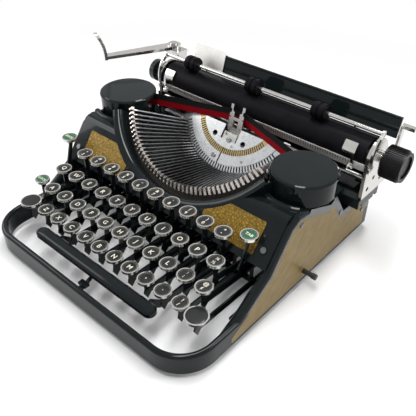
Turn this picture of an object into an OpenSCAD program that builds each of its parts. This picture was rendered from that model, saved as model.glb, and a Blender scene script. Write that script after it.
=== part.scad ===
// Four-bank portable typewriter with an open front, a type basket and a lifting carriage.
// Machine frame: x to the right, y to the back, z up. The front rail's face is at y = 0.

/* [Frame] */
// Half the width over the side walls
half_width = 127; // [124:0.5:134]
// Depth from the front rail to the back wall
depth = 258; // [254:1:270]
// Height of the rubber feet
foot_h = 5; // [4:0.5:8]
// Diameter of a rubber foot
foot_d = 12; // [9:0.5:15]
// Height of the front rail's flat face
rail_h = 16; // [12:0.5:18]
// Thickness of the front rail
rail_t = 5.6; // [4:0.2:7]
// Outer radius of the front corners
corner_r = 34; // [28:1:40]
// Thickness of the side walls
wall_t = 2.6; // [2.2:0.1:3.2]
// Height of the back wall's top
back_top = 36; // [30:1:38]
// Height of the side walls at the shoulder
shoulder_z = 85; // [82:0.5:86]
// Height of the side walls under the carriage
notch_z = 48; // [44:0.5:48.5]
// Radius of the rolled edge along the front of the side walls
edge_r = 4.5; // [3.5:0.1:4.6]
// Width of the border above a side panel
panel_border = 7; // [5:0.5:9]
// Thickness of the wood-grained side panels
panel_t = 0.8; // [0.5:0.1:1.2]

/* [Front plate] */
// Distance of the front plate in front of the segment
plate_h = 65.5; // [64:0.5:68]
// Thickness of the front plate
plate_t = 1.8; // [1.4:0.1:2.4]
// Height of the shelf in front of the ribbon spools
shelf_z = 86; // [84:0.5:87]
// Radius of the type basket's opening
rim_r = 98; // [97:0.5:100]
// Radius of the basket's rolled edge
rim_roll = 6; // [4:0.5:7]
// Thickness of the two front inlays
inlay_t = 0.6; // [0.4:0.1:0.9]

/* [Segment and type bars] */
// Number of type bars
bar_count = 42; // [38:1:44]
// Angle between the first and the last type bar
bar_sweep = 120; // [112:1:120]
// Radius of the circle on which the bars pivot
pivot_r = 64; // [63:0.2:65]
// Thickness of a type bar
bar_t = 1.1; // [0.8:0.1:1.3]
// Length from a bar's pivot to its slug
bar_len = 64.5; // [63:0.5:65]
// Width of a type slug
slug_w = 2.4; // [1.8:0.1:3]
// Outer radius of the slotted ring
ring_r = 70.8; // [70:0.2:72]
// Inner radius of the slotted ring
ring_in_r = 57.4; // [56:0.2:58]
// Outer radius of the brass comb
comb_r = 47.4; // [46:0.2:48.5]
// Inner radius of the brass comb
comb_in_r = 41.5; // [40:0.2:43]

/* [Keyboard] */
// Distance from key to key along a bank
key_pitch = 19.05; // [18.9:0.05:19.2]
// Diameter of a key top over its ring
key_d = 14.8; // [13:0.2:15.6]
// Thickness of a key top
key_t = 3.6; // [3:0.2:4.2]
// Diameter of a shift key over its ring
shift_d = 19.4; // [17:0.2:20]
// Thickness of a key lever
lever_t = 1.5; // [1.2:0.1:1.8]
// Diameter of the rod on which all levers turn
fulcrum_d = 4.8; // [4:0.2:5.4]
// Length of the space bar
space_len = 150; // [140:1:156]
// Width of the space bar
space_w = 12; // [10:0.5:13]
// Thickness of the space bar
space_t = 7; // [5:0.5:7]

/* [Ribbon] */
// Diameter of a spool cover
cover_d = 55.2; // [52:0.2:56]
// Height of the spool covers' tops
cover_top = 104; // [103:0.5:106]
// Width of the ribbon
ribbon_w = 12.7; // [12:0.1:13]
// Thickness of the ribbon
ribbon_t = 0.25; // [0.2:0.05:0.4]
// Diameter of a spool's flanges
spool_d = 42; // [36:1:44]

/* [Carriage] */
// Place of the carriage's middle to the right of the machine's middle
carriage_x = 13.3; // [0:0.1:20]
// Length of the platen's rubber
platen_len = 236; // [230:1:240]
// Diameter of the platen
platen_d = 31; // [30:0.2:31.4]
// Diameter of the platen's shaft
shaft_d = 8; // [6:0.5:9]
// Diameter of the right platen knob
knob_d = 28; // [24:0.5:30]
// Length of the right platen knob
knob_len = 16.5; // [14:0.5:18]
// Diameter of the paper bail's rod
bail_d = 3.8; // [3:0.2:4.4]
// Height of the paper table's top edge
table_top = 129; // [124:0.5:132]
// Length of the line-space lever from its pivot
lever_len = 76; // [66:1:80]

/* [Fits] */
// Running clearance of a bore on its pin
fit = 0.05; // [0.03:0.01:0.08]
// Clearance between pieces that only pass each other
gap = 0.3; // [0.2:0.05:0.4]

/* [Hidden] */
$fn = 64;

// Enamel, metal and rubber as they look
enamel = "#16191c";
nickel = "#c9ccc9";
steel = "#8d9193";
brass = "#b39a62";
rubber = "#1d1e1f";
gold = "#b8892b";
wood = "#b69a63";
red = "#8c1520";
pad = "#2b2520";

inner_w = half_width - wall_t;
rail_top = foot_h + rail_h;
foot_y = [80, 210];
push_rod_at = [149, 16];
push_rod_d = 4.4;

// The segment's own frame: origin on the axis that every type bar strikes, z out of the segment
seg_y = 218;
seg_z = 100;
seg_tilt = 52;
plate_low = -114;
rim_flange = rim_r + rim_roll + 2;
rim_lip_low = 46;
bar_first = 90 - bar_sweep / 2;
bar_step = bar_sweep / (bar_count - 1);
bar_rest = 65;
one_bar = floor(bar_count / 2);
slot_w = bar_t + gap;
slot_floor = ring_in_r + 0.4;
bar_half = 1.3;
pin_d = 1.6;
pivot_h = -1.4;
ring_t = 6;
plate_chord = -20;
guide_floor = -34;
vibrator_y = 205.5;
vibrator_z = 80.5;
vibrator_lean = 15;

// Key banks: number of keys, middle of the bank, y, top height and length of the stems
banks = [
    [10, -2.7, 93, 70.8, 28], [11, -2.95, 73.6, 59, 21], [11, 1.65, 55, 48.2, 18], [10, 1.9, 38.7, 37.4, 15.5]
];
one_key = 5;
fulcrum_y = 200;
fulcrum_z = 18;
stem_w = 4.4;
socket_h = 1.4;
shift_x = 105.6;
shift_bar_at = [186, 9];
shift_bar_d = 4;
lock_x = -110.6;
backspace_x = -116.5;
tab_x = 102.4;
arm_mid = (banks[2][1] + banks[0][1] + key_pitch / 2) / 2;
arm_x = [arm_mid - 3 * key_pitch, arm_mid + 3 * key_pitch];
comb_mid = [(banks[0][1] + banks[3][1] + key_pitch) / 2, (banks[1][1] + banks[2][1]) / 2 + key_pitch];

// Ribbon spools
spool_x = 105.7;
spool_y = 166;
deck_z = 70;
deck_t = 2.5;
cover_low = 84.5;
cover_wall = 1;
ribbon_z = 85.5;
ribbon_y = 213.4;
ribbon_bend = 9;
post_d = 4.9;
pack_r = 13;

// Carriage
platen_y = 230.5;
platen_z = 97;
end_in = platen_len / 2 + 3;
end_t = 3;
end_out = end_in + end_t;
rail_y = [216, 240];
rail_w = 4;
rail_crest = 54;
bed_low = 51.4;
bed_top = 60;
bed_y = [211, 246];
bail_pivot = [218, 90];
bail_pin_d = 4.8;
roller_d = 14.7;
bail_dist = (platen_d + roller_d) / 2 + gap;
bail_rod = [platen_y - 1.5, platen_z + sqrt(bail_dist * bail_dist - 2.25)];
bail_centre = [238.2, 100.2];
stay_rod = [217, 79.7];
stay_d = 3.6;
finger_x = [-116, 98];
finger_w = 12;
finger_arm = 2.5;
finger_reach = platen_d / 2 + 3.74;
finger_pin = [platen_y + finger_reach * cos(206.6), platen_z + finger_reach * sin(206.6)];
finger_pin_d = 1.8;
feed_y = platen_y;
feed_d = 10;
feed_z = platen_z - platen_d / 2 - feed_d / 2 - gap;
feed_pin_d = 4;
tie_at = [252, 80];
tie_d = 6;
post_bed_d = 6;
table_low = [245, 111];
table_lean = 17.5;
table_t = 1.6;
table_len = (table_top - table_low[1]) / cos(table_lean);
table_left = 102;
table_right = 129.7;
pivot_x = -134.5;
pivot_y = 248;
pivot_z = 119;
release_pivot = [246, 92];
drum_x = -88;
drum_z = 22;
drum_d = 30;
drum_len = 14;
drum_pin_d = 6;
knob_x = end_out + 9;
finger_lean = 6.4;
lever_reach = (lever_len + finger_lean) / 2 + 3.9;
origin_x = carriage_x + (knob_x + knob_len + pivot_x - lever_reach) / 2;

// Places the machine with its resting box centred over the origin
module machine() {
    translate([-origin_x, -depth / 2, 0]) children();
}

// Raises an outline drawn in y and z to a plate whose left face is at x
module side_plate(x, t) {
    translate([x, 0, 0]) rotate([90, 0, 90]) linear_extrude(t) children();
}

// Turns children into the segment's own frame
module in_segment() {
    translate([0, seg_y, seg_z]) rotate([seg_tilt, 0, 0]) children();
}

// Turns an outline of radius and height round the segment's axis
module round_segment(from, to) {
    rotate([0, 0, -to]) rotate_extrude(angle = to - from, $fn = 128) children();
}

// Moves children to the carriage's middle on the platen's axis
module on_carriage() {
    translate([carriage_x, 0, 0]) children();
}

// A round bar along x from a to b at a point in y and z
module x_rod(a, b, at, d) {
    translate([a, at[0], at[1]]) rotate([0, 90, 0]) cylinder(d = d, h = b - a);
}

// Part of a ring round a point in y and z, from one angle to another
module ring_part(at, inner, outer, from, to) {
    reach = outer * 2;
    translate(at) intersection() {
        difference() {
            circle(outer, $fn = 128);
            circle(inner, $fn = 128);
        }
        polygon(concat([[0, 0]], [for (i = [0 : 4]) let (a = from + (to - from) * i / 4)
            [reach * cos(a), reach * sin(a)]]));
    }
}

// Frame

module loop_plan(inset) {
    r = corner_r - inset;
    straight = half_width - corner_r;
    for (side = [-1, 1]) translate([side * straight, corner_r]) circle(r, $fn = 96);
    translate([-straight, inset]) square([2 * straight, corner_r]);
    translate([inset - half_width, corner_r]) square([2 * (half_width - inset), 36]);
}

module rail_bead() {
    r = rail_t / 2;
    straight = half_width - corner_r;
    translate([-straight, r, rail_top]) rotate([0, 90, 0]) cylinder(r = r, h = 2 * straight);
    for (side = [-1, 1]) {
        translate([side * straight, corner_r, rail_top]) rotate([0, 0, side > 0 ? -90 : 180])
            rotate_extrude(angle = 90, $fn = 96) translate([corner_r - r, 0]) circle(r, $fn = 32);
        translate([side * (half_width - r), corner_r, rail_top]) rotate([-90, 0, 0])
            cylinder(r = r, h = 36);
    }
}

// Front edge of a side wall in y and z, from the rail up to the shoulder
wall_edge = [
    [48, rail_top - 2], [62, 25.5], [96.2, 47.8], [120.2, 80.2], [132, shoulder_z + 1], [146, shoulder_z - 1]
];
// Edge of a side wall from the shoulder to the back
wall_back = [
    [180, 69.5], [189, 73], [206, notch_z], [236, notch_z], [depth - 7, back_top], [depth, back_top - 6],
    [depth, foot_h]
];

// A line moved by d to the right of its own direction
function normal(a, b) = [b[1] - a[1], a[0] - b[0]] / norm(b - a);
function moved(line, d) = [for (i = [0 : len(line) - 1])
    let (n = normal(line[max(i - 1, 0)], line[max(i, 1)]))
    let (m = normal(line[min(i, len(line) - 2)], line[min(i + 1, len(line) - 1)]))
    line[i] + (n + m) * d / (1 + n * m)];
edge_path = moved(wall_edge, edge_r);
function edge_turn(i) = atan2(edge_path[i + 1][1] - edge_path[i][1], edge_path[i + 1][0] - edge_path[i][0]);
function edge_reach(i) = edge_r * tan(abs(edge_turn(i) - edge_turn(i - 1)) / 2);

module panel_shape() {
    offset(r = 1.5, $fn = 24) offset(delta = -panel_border - 1.5)
        polygon(concat([[40, foot_h - 4]], wall_edge, [for (p = wall_back) p - [0, p[1] == foot_h ? 4 : 0]]));
}

module panel_outline() {
    intersection() {
        panel_shape();
        translate([53, foot_h + 2.5]) square([depth - 55.5, 120]);
    }
}

// Rolled edge of both side walls: twelve-sided rods that meet at the bends
module edge_rolls(r) {
    n = len(edge_path) - 1;
    for (side = [-1, 1], i = [0 : n - 1]) {
        run = edge_path[i + 1] - edge_path[i];
        from = i > 0 ? edge_reach(i) : 0;
        to = norm(run) + (i < n - 1 ? edge_reach(i + 1) : 0);
        translate([side * (half_width - edge_r), edge_path[i][0], edge_path[i][1]])
            rotate([edge_turn(i) - 90, 0, 0]) translate([0, 0, -from]) rotate([0, 0, 15])
                cylinder(r = r - i % 2 * 0.06, h = from + to, $fn = 12);
    }
}

// Foot flange along the inside of a side wall, round at its front end
module side_flange() {
    w = 14;
    translate([inner_w - w, 62 + w, foot_h]) cube([w, depth - wall_t - 62 - w, 2.5]);
    translate([inner_w, 62 + w, foot_h]) intersection() {
        cylinder(r = w, h = 2.5);
        translate([-w, -w, 0]) cube([w, 2 * w, 3]);
    }
}

module base_frame() {
    color(enamel) difference() {
        union() {
            translate([0, 0, foot_h]) linear_extrude(rail_h) difference() {
                loop_plan(0);
                loop_plan(rail_t);
            }
            rail_bead();
            edge_rolls(edge_r);
            for (x = [-half_width, inner_w]) side_plate(x, wall_t)
                polygon(concat([[corner_r + 14, foot_h]], edge_path, [[148, shoulder_z - 1.9]], wall_back));
            for (side = [0, 1]) mirror([side, 0, 0]) side_flange();
            translate([-inner_w, depth - wall_t, foot_h]) cube([2 * inner_w, wall_t, back_top - 6 - foot_h]);
            for (side = [-1, 1], y = foot_y) translate([side * (inner_w - 8), y, foot_h])
                translate([-8, -8, 0]) cube([16, 16, 2.5]);
            translate([drum_x, depth - wall_t, drum_z]) rotate([90, 0, 0]) {
                cylinder(d = drum_pin_d, h = drum_len + 2.4);
                translate([0, 0, drum_len + 1]) cylinder(d = drum_pin_d + 3, h = 1.4);
            }
        }
        translate([-half_width - 1, -1, foot_h - 60]) cube([2 * half_width + 2, depth + 2, 60]);
        for (side = [-1, 1]) side_plate(side > 0 ? half_width - panel_t : -half_width - 1, panel_t + 1)
            panel_outline();
        x_rod(inner_w - 1, half_width + 1, push_rod_at, push_rod_d + 2 * fit);
    }
}

module side_panels() {
    color(wood) difference() {
        for (x = [-half_width, half_width - panel_t]) side_plate(x, panel_t)
            offset(delta = -0.1) panel_outline();
        x_rod(inner_w - 1, half_width + 1, push_rod_at, push_rod_d + 2 * fit);
    }
}

module feet() {
    color(rubber) for (side = [-1, 1], y = foot_y) translate([side * (inner_w - 6), y, 0]) {
        cylinder(d1 = foot_d - 2, d2 = foot_d, h = 2);
        translate([0, 0, 2]) cylinder(d = foot_d, h = foot_h - 2);
    }
}

// Height and place of a point on the front plate
function plate_y(v, h) = seg_y - h * sin(seg_tilt) + v * cos(seg_tilt);
function plate_z(v, h) = seg_z + h * cos(seg_tilt) + v * sin(seg_tilt);

// Section of the shell: the leaning front plate and the shelf behind it
module shell_section(inset) {
    high = (shelf_z - plate_z(0, plate_h)) / sin(seg_tilt);
    offset(delta = -inset) offset(r = 9, $fn = 48) offset(delta = -9) polygon([
        [plate_y(plate_low - 20, plate_h), plate_z(plate_low - 20, plate_h)],
        [plate_y(high, plate_h), shelf_z], [170, shelf_z], [170, plate_z(plate_low - 20, plate_h)]
    ]);
}

// Raised ridge on the shelf, round the front of a spool cover
module cover_ridge() {
    r = 3;
    translate([spool_x, spool_y, shelf_z - 0.6]) rotate([0, 0, 236]) rotate_extrude(angle = 64, $fn = 96)
        translate([cover_d / 2 + 2 + r, 0]) intersection() {
            circle(r, $fn = 32);
            translate([-r, -1]) square([2 * r, 2 * r]);
        }
}

module top_shell() {
    color(enamel) difference() {
        union() {
            side_plate(edge_r - half_width, 2 * (half_width - edge_r)) difference() {
                shell_section(0);
                shell_section(plate_t);
                square([200, plate_z(plate_low, plate_h)]);
                translate([142, 0]) square([60, 120]);
            }
            for (side = [0, 1]) mirror([side, 0, 0]) cover_ridge();
        }
        in_segment() translate([0, 0, 40]) cylinder(r = rim_flange + fit, h = 60, $fn = 128);
        for (side = [-1, 1]) translate([side * spool_x, spool_y, 60]) cylinder(d = cover_d + 4, h = 60);
        edge_rolls(edge_r + fit);
        front_inlay_solids(0);
    }
}

// The two gold inlays of the front plate, let in from its face
module front_inlay_solids(shrink) {
    in_segment() translate([0, 0, plate_h - inlay_t]) for (side = [0, 1]) mirror([side, 0, 0])
        linear_extrude(inlay_t + (shrink > 0 ? 0 : 1)) offset(r = 1.5 - shrink, $fn = 24) offset(delta = -1.5)
            polygon([[67.7, -79.5], [107, -79.5], [107, -107.8], [55, -107.8], [48.6, -97.5], [48.6, -92]]);
}

module front_inlays() {
    color(gold) difference() {
        front_inlay_solids(0.1);
        in_segment() translate([0, 0, 40]) cylinder(r = rim_flange + fit, h = 60, $fn = 128);
    }
}

// Room round the two spool covers
module cover_room() {
    for (side = [-1, 1]) translate([side * spool_x, spool_y, deck_z])
        cylinder(d = cover_d + 1 + 4 * gap, h = 60);
}

module basket_rim() {
    roll = plate_h - rim_roll;
    color(enamel) difference() {
        in_segment() round_segment(30, 150) {
            difference() {
                translate([rim_r + rim_roll, roll]) difference() {
                    circle(rim_roll);
                    circle(rim_roll - plate_t);
                }
                translate([rim_r + rim_roll, 0]) square([20, 100]);
                translate([rim_r - 1, roll - 40]) square([30, 40]);
            }
            translate([rim_r, rim_lip_low]) square([plate_t, roll - rim_lip_low]);
            translate([rim_r + rim_roll, plate_h - plate_t]) square([2, plate_t]);
        }
        cover_room();
    }
}

module body_screws() {
    color(nickel) {
        in_segment() for (x = [-114.5, 114.5]) translate([x, -100, plate_h]) cylinder(d = 5, h = 1.4);
        for (side = [-1, 1], p = [[136, 74], [seg_y - 18, 50], [depth - 14, 28]])
            translate([side * half_width, p[0], p[1]]) rotate([0, side * 90, 0]) cylinder(d = 4.4, h = 0.9);
    }
}

// Segment, type bars and printing point

module bar_place(i) {
    rotate([0, 0, -(bar_first + i * bar_step)]) children();
}

module segment() {
    from = bar_first - 6;
    to = 180 - from;
    color(steel) {
        in_segment() difference() {
            union() {
                round_segment(from, to) {
                    translate([ring_in_r, -ring_t]) square([ring_r - ring_in_r, ring_t]);
                    translate([comb_r, -ring_t]) square([ring_in_r - comb_r, ring_t + 0.8]);
                }
                intersection() {
                    translate([0, 0, -ring_t]) cylinder(r = comb_r + 3, h = ring_t - 1.5, $fn = 128);
                    translate([-60, -60, -20]) cube([120, 60 + plate_chord, 40]);
                }
                intersection() {
                    translate([0, 0, -ring_t]) cylinder(r = comb_in_r, h = ring_t + 0.6, $fn = 128);
                    translate([-60, -60, -20]) cube([120, 60 + plate_chord, 40]);
                }
            }
            for (i = [0 : bar_count - 1]) bar_place(i)
                translate([slot_floor, -slot_w / 2, -ring_t - 1]) cube([20, slot_w, ring_t + 2]);
            bar_place(one_bar) translate([comb_r - 1, -slot_w / 2, -3])
                cube([ring_in_r - comb_r + 2, slot_w, 6]);
            translate([-9.5, guide_floor, -ring_t - 1]) cube([19, 30, ring_t + 3]);
            for (x = [-17.3, 17.3]) translate([x, -32, -ring_t - 1]) cylinder(d = 5.6, h = 20);
        }
        in_segment() bar_place(one_bar) translate([pivot_r, 0, pivot_h]) rotate([90, 0, 0])
            cylinder(d = pin_d, h = slot_w + 1, center = true, $fn = 32);
        for (side = [0, 1]) mirror([side, 0, 0]) translate([ring_r - 8.8, 196, deck_z + deck_t])
            cube([24, 8, 4]);
    }
}

module segment_comb() {
    color(brass) in_segment() difference() {
        intersection() {
            translate([0, 0, -1.5]) difference() {
                cylinder(r = comb_r, h = 2, $fn = 128);
                translate([0, 0, -1]) cylinder(r = comb_in_r, h = 4, $fn = 128);
            }
            translate([-60, -60, -20]) cube([120, 60 + plate_chord, 40]);
        }
        for (i = [1 : bar_count - 2]) {
            w = i == one_bar ? slot_w : 1;
            bar_place(i) translate([comb_in_r - 1, -w / 2, -0.5]) cube([8, w, 3]);
        }
    }
}

module bar_outline() {
    translate([pivot_r, pivot_h]) rotate(bar_rest) polygon([
        [-2, -2], [5, -2], [bar_len - 3, -bar_half], [bar_len, -bar_half], [bar_len, bar_half],
        [bar_len - 3, bar_half], [5, 2], [-2, 2]
    ]);
}

module slug_outline() {
    translate([pivot_r, pivot_h]) rotate(bar_rest) translate([bar_len - 1.3, -1.5]) square([2.6, 6.6]);
}

module radial_plate(t) {
    rotate([90, 0, 0]) linear_extrude(t, center = true) children();
}

module type_bars() {
    color(steel) in_segment() for (i = [0 : bar_count - 1]) if (i != one_bar) bar_place(i) {
        radial_plate(bar_t) {
            bar_outline();
            translate([slot_floor, -5.6]) square([pivot_r + 1 - slot_floor, 3]);
        }
        radial_plate(slug_w) slug_outline();
    }
}

module type_bar_one() {
    color(steel) in_segment() bar_place(one_bar) {
        radial_plate(bar_t) difference() {
            union() {
                bar_outline();
                translate([pivot_r, pivot_h]) circle(3.2);
            }
            translate([pivot_r, pivot_h]) circle(d = pin_d + 2 * fit, $fn = 32);
        }
        radial_plate(slug_w) slug_outline();
    }
}

module type_rest() {
    under = bar_half + 0.15 + fit;
    function rest_r(h) = pivot_r + (h - pivot_h) / tan(bar_rest) + under / sin(bar_rest);
    low = rim_lip_low;
    high = rim_lip_low + 6;
    color(pad) difference() {
        in_segment() round_segment(bar_first + 1, 179 - bar_first)
            polygon([[rest_r(low), low], [rim_r, low], [rim_r, high], [rest_r(high), high]]);
        cover_room();
    }
}

// Leans children back in line with the ribbon vibrator
module vibrator_frame() {
    translate([0, vibrator_y, vibrator_z]) rotate([-vibrator_lean, 0, 0]) children();
}

module type_guide() {
    color(nickel) {
        in_segment() translate([-8, guide_floor, -ring_t]) cube([16, 8, ring_t]);
        vibrator_frame() difference() {
            union() {
                translate([-8.5, 1.2 + fit, -6]) cube([17, 1.3, 18]);
                for (x = [-8.5, 6.5 + fit]) translate([x, 0, -1]) cube([2 - fit, 1.3 + fit, 13]);
            }
            translate([-2.5, 0, 3]) cube([5, 5, 20]);
        }
    }
}

module ribbon_vibrator() {
    half = [
        [6.5, 0], [6.5, 12.6], [8.5, 13.2], [8.5, 16], [6.8, 17], [6.8, 20], [8.5, 21], [8.5, 25], [5.5, 25],
        [5.5, 19], [3.2, 17.5], [3.2, 13]
    ];
    color(nickel) vibrator_frame() translate([0, 1.2, 0]) rotate([90, 0, 0])
    linear_extrude(1.2) difference() {
        polygon(concat(half, [for (i = [len(half) - 1 : -1 : 0]) [-half[i][0], half[i][1]]]));
        translate([-3, 3]) square([6, 7]);
    }
}

// Ribbon

// The ribbon leaves each spool at a tangent and runs straight to the printing point
module ribbon() {
    bend = [ribbon_bend, ribbon_y];
    reach = bend - [spool_x, spool_y];
    lead = atan2(reach[1], reach[0]) + asin((pack_r + ribbon_t) / norm(reach));
    start = [spool_x, spool_y] + (pack_r + ribbon_t) * [sin(lead), -cos(lead)];
    path = [[-start[0], start[1]], [-bend[0], bend[1]], bend, start];
    half = [0, ribbon_t / 2];
    color(red) translate([0, 0, ribbon_z]) linear_extrude(ribbon_w)
        polygon(concat([for (p = path) p - half], [for (i = [3 : -1 : 0]) path[i] + half]));
}

module spool_decks() {
    color(enamel) for (side = [0, 1]) mirror([side, 0, 0]) {
        difference() {
            translate([66, 130, deck_z]) cube([inner_w - 66, 74, deck_t]);
            in_segment() cylinder(r = rim_r + plate_t + 0.5, h = 60, $fn = 128);
        }
        translate([spool_x, spool_y, deck_z + deck_t]) {
            cylinder(d = 9, h = ribbon_z - 3 - fit - deck_z - deck_t);
            cylinder(d = post_d, h = cover_top - 2.6 - deck_z - deck_t);
        }
        translate([spool_x - 23.7, spool_y + 20.4, deck_z]) cube([14, 6, deck_t]);
        translate([spool_x - 20.7, spool_y + 23.4, deck_z]) cylinder(d = 2.4, h = deck_t + 28, $fn = 24);
    }
}

// Cups on the decks, in which the spools stand
module spool_cups() {
    color(enamel) difference() {
        for (side = [0, 1]) mirror([side, 0, 0]) translate([spool_x, spool_y, deck_z + deck_t])
        difference() {
            cylinder(d = cover_d, h = cover_low - deck_z - deck_t - fit);
            translate([0, 0, -1]) cylinder(d = cover_d - 3, h = 20);
            translate([inner_w - spool_x, -60, -1]) cube([60, 120, 40]);
        }
        edge_rolls(edge_r + gap);
        in_segment() cylinder(r = rim_r + plate_t + 0.5, h = 60, $fn = 128);
    }
}

module spool(side) {
    color(steel) translate([side * spool_x, spool_y, ribbon_z - 3]) difference() {
        union() {
            cylinder(d = spool_d, h = 1);
            cylinder(r = pack_r, h = ribbon_w + 4);
            translate([0, 0, ribbon_w + 4]) cylinder(d = spool_d, h = 1);
        }
        translate([0, 0, -1]) cylinder(d = post_d + 2 * fit, h = 30);
    }
}

module spool_left() {
    spool(-1);
}

module spool_right() {
    spool(1);
}

module spool_cover(side) {
    color(enamel) translate([side * spool_x, spool_y, 0]) difference() {
        union() {
            translate([0, 0, cover_low]) cylinder(d = cover_d, h = cover_top - cover_low - 2);
            translate([0, 0, cover_top - 3]) cylinder(d = cover_d + 1, h = 1.5);
            translate([0, 0, cover_top - 1.5]) cylinder(d1 = cover_d + 1, d2 = cover_d, h = 0.9);
            translate([0, 0, cover_top - 0.6]) cylinder(d1 = cover_d, d2 = cover_d - 2.4, h = 0.6);
        }
        translate([0, 0, cover_low - 1])
            cylinder(d = cover_d - 2 * cover_wall, h = cover_top - 2.5 - cover_low + 1);
        rotate([0, 0, side < 0 ? 0 : 90]) translate([0, 0, cover_low - 1])
            cube([40, 40, ribbon_z + ribbon_w + 2.5 - cover_low]);
    }
}

module spool_cover_left() {
    spool_cover(-1);
}

module spool_cover_right() {
    spool_cover(1);
}

// Keyboard

// Outline of a lever from a key's stem back to its eye on the fulcrum rod
module lever_outline(y, top, drop) {
    low = top - drop;
    difference() {
        union() {
            polygon([
                [y - stem_w / 2, top], [y + stem_w / 2, top], [y + stem_w / 2, low + 8],
                [fulcrum_y, fulcrum_z + 3.4], [fulcrum_y, fulcrum_z - 3.4], [y + 4, low + 1.5],
                [y, low - 3], [y - stem_w / 2 - 1, low + 3], [y - stem_w / 2, low + 7]
            ]);
            translate([fulcrum_y, fulcrum_z]) circle(d = fulcrum_d + 5);
        }
        translate([fulcrum_y, fulcrum_z]) circle(d = fulcrum_d + 2 * fit);
    }
}

module lever(x, y, top, drop) {
    side_plate(x - lever_t / 2, lever_t) lever_outline(y, top - key_t + socket_h, drop + socket_h);
}

// A key top: a ringed cup, hollow above for its legend and socketed below for its stem
module key_top(x, y, top, d) {
    translate([x, y, top - key_t]) difference() {
        union() {
            cylinder(d1 = d - 2.4, d2 = d, h = 1.2);
            translate([0, 0, 1.2]) cylinder(d = d, h = key_t - 1.2);
        }
        translate([0, 0, key_t - 0.9]) cylinder(d = d - 2.2, h = 2);
        translate([-lever_t / 2 - fit, -stem_w / 2 - fit, -1])
            cube([lever_t + 2 * fit, stem_w + 2 * fit, socket_h + 1 + fit]);
    }
}

function key_x(bank, i) = bank[1] + (i - (bank[0] - 1) / 2) * key_pitch;

module bank_levers(b) {
    bank = banks[b];
    color(enamel) for (i = [0 : bank[0] - 1]) if (b != 2 || i != one_key)
        lever(key_x(bank, i), bank[2], bank[3], bank[4]);
}

module bank_keys(b) {
    bank = banks[b];
    color(nickel) for (i = [0 : bank[0] - 1]) if (b != 2 || i != one_key)
        key_top(key_x(bank, i), bank[2], bank[3], key_d);
}

module levers_number() {
    bank_levers(0);
}

module keys_number() {
    bank_keys(0);
}

module levers_upper() {
    bank_levers(1);
}

module keys_upper() {
    bank_keys(1);
}

module levers_home() {
    bank_levers(2);
}

module keys_home() {
    bank_keys(2);
}

module levers_lower() {
    bank_levers(3);
}

module keys_lower() {
    bank_keys(3);
}

module key_one() {
    bank = banks[2];
    x = key_x(bank, one_key);
    color(enamel) lever(x, bank[2], bank[3], bank[4]);
    color(nickel) key_top(x, bank[2], bank[3], key_d);
}

// Two shift levers joined by a low bar behind all other levers' eyes
module shift_keys() {
    y = 37.3;
    top = 37.2;
    for (x = [-shift_x, shift_x]) {
        color(enamel) difference() {
            union() {
                lever(x, y, top, 15.5);
                side_plate(x - lever_t / 2, lever_t) {
                    translate(shift_bar_at) circle(d = shift_bar_d + 4);
                    translate([shift_bar_at[0] - 3, shift_bar_at[1]])
                        square([6, fulcrum_z - shift_bar_at[1]]);
                }
            }
            x_rod(x - 2, x + 2, shift_bar_at, shift_bar_d + 2 * fit);
        }
        color(nickel) key_top(x, y, top, shift_d);
    }
    color(enamel) x_rod(-shift_x - 3, shift_x + 3, shift_bar_at, shift_bar_d);
}

module shift_lock() {
    color(enamel) lever(lock_x, 56, 50, 20);
    color(nickel) key_top(lock_x, 56, 50, key_d - 1);
}

// A key whose stem runs down along the front plate before its lever turns back
module plate_key(x, y, top) {
    foot = [89.5, 42];
    color(enamel) side_plate(x - lever_t / 2, lever_t) difference() {
        union() {
            polygon([
                [y - stem_w / 2, top - key_t + socket_h], [y + stem_w / 2, top - key_t + socket_h],
                [y + stem_w / 2, top - key_t - 3], [foot[0] + 4, foot[1] + 6],
                [fulcrum_y, fulcrum_z + 3.4], [fulcrum_y, fulcrum_z - 3.4], [foot[0] + 2, foot[1] - 3],
                [foot[0] - 1, foot[1] + 4], [y - stem_w / 2, top - key_t - 5]
            ]);
            translate([fulcrum_y, fulcrum_z]) circle(d = fulcrum_d + 5);
        }
        translate([fulcrum_y, fulcrum_z]) circle(d = fulcrum_d + 2 * fit);
    }
    color(nickel) key_top(x, y, top, key_d);
}

module backspace_key() {
    plate_key(backspace_x, 97, 75.5);
}

module tab_key() {
    plate_key(tab_x, 101, 73.5);
}

module space_bar() {
    z = 24;
    y = 17;
    arm_in = 3;
    back = y + space_w;
    color(enamel) {
        difference() {
            translate([0, y + space_w / 2, z]) hull() for (side = [-1, 1]) {
                translate([side * (space_len - space_w) / 2, 0, 0]) {
                    cylinder(d = space_w - 1, h = space_t - 2.4, $fn = 32);
                    translate([0, 0, 1]) cylinder(d = space_w, h = space_t - 3.4, $fn = 32);
                    translate([0, 0, space_t - 2.4])
                        cylinder(d1 = space_w, d2 = space_w - 3, h = 1.6, $fn = 32);
                }
                translate([side * (space_len / 2 - space_w), 0, space_t - 1])
                    cylinder(d1 = space_w - 3, d2 = space_w - 6, h = 1, $fn = 32);
            }
            for (x = arm_x) translate([x - lever_t / 2 - fit, back - 5 - fit, z - 1])
                cube([lever_t + 2 * fit, 8, 1 + arm_in + fit]);
        }
        for (x = arm_x) side_plate(x - lever_t / 2, lever_t) difference() {
            union() {
                polygon([
                    [back - 5, z + arm_in], [back + 3, z + arm_in], [back + 16, 16],
                    [fulcrum_y, fulcrum_z + 2.6], [fulcrum_y, fulcrum_z - 3.4], [back + 12, 10.5],
                    [back - 3, z - 2.5], [back - 5, z - 2.5]
                ]);
                translate([fulcrum_y, fulcrum_z]) circle(d = fulcrum_d + 5);
            }
            translate([fulcrum_y, fulcrum_z]) circle(d = fulcrum_d + 2 * fit);
        }
    }
}

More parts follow.
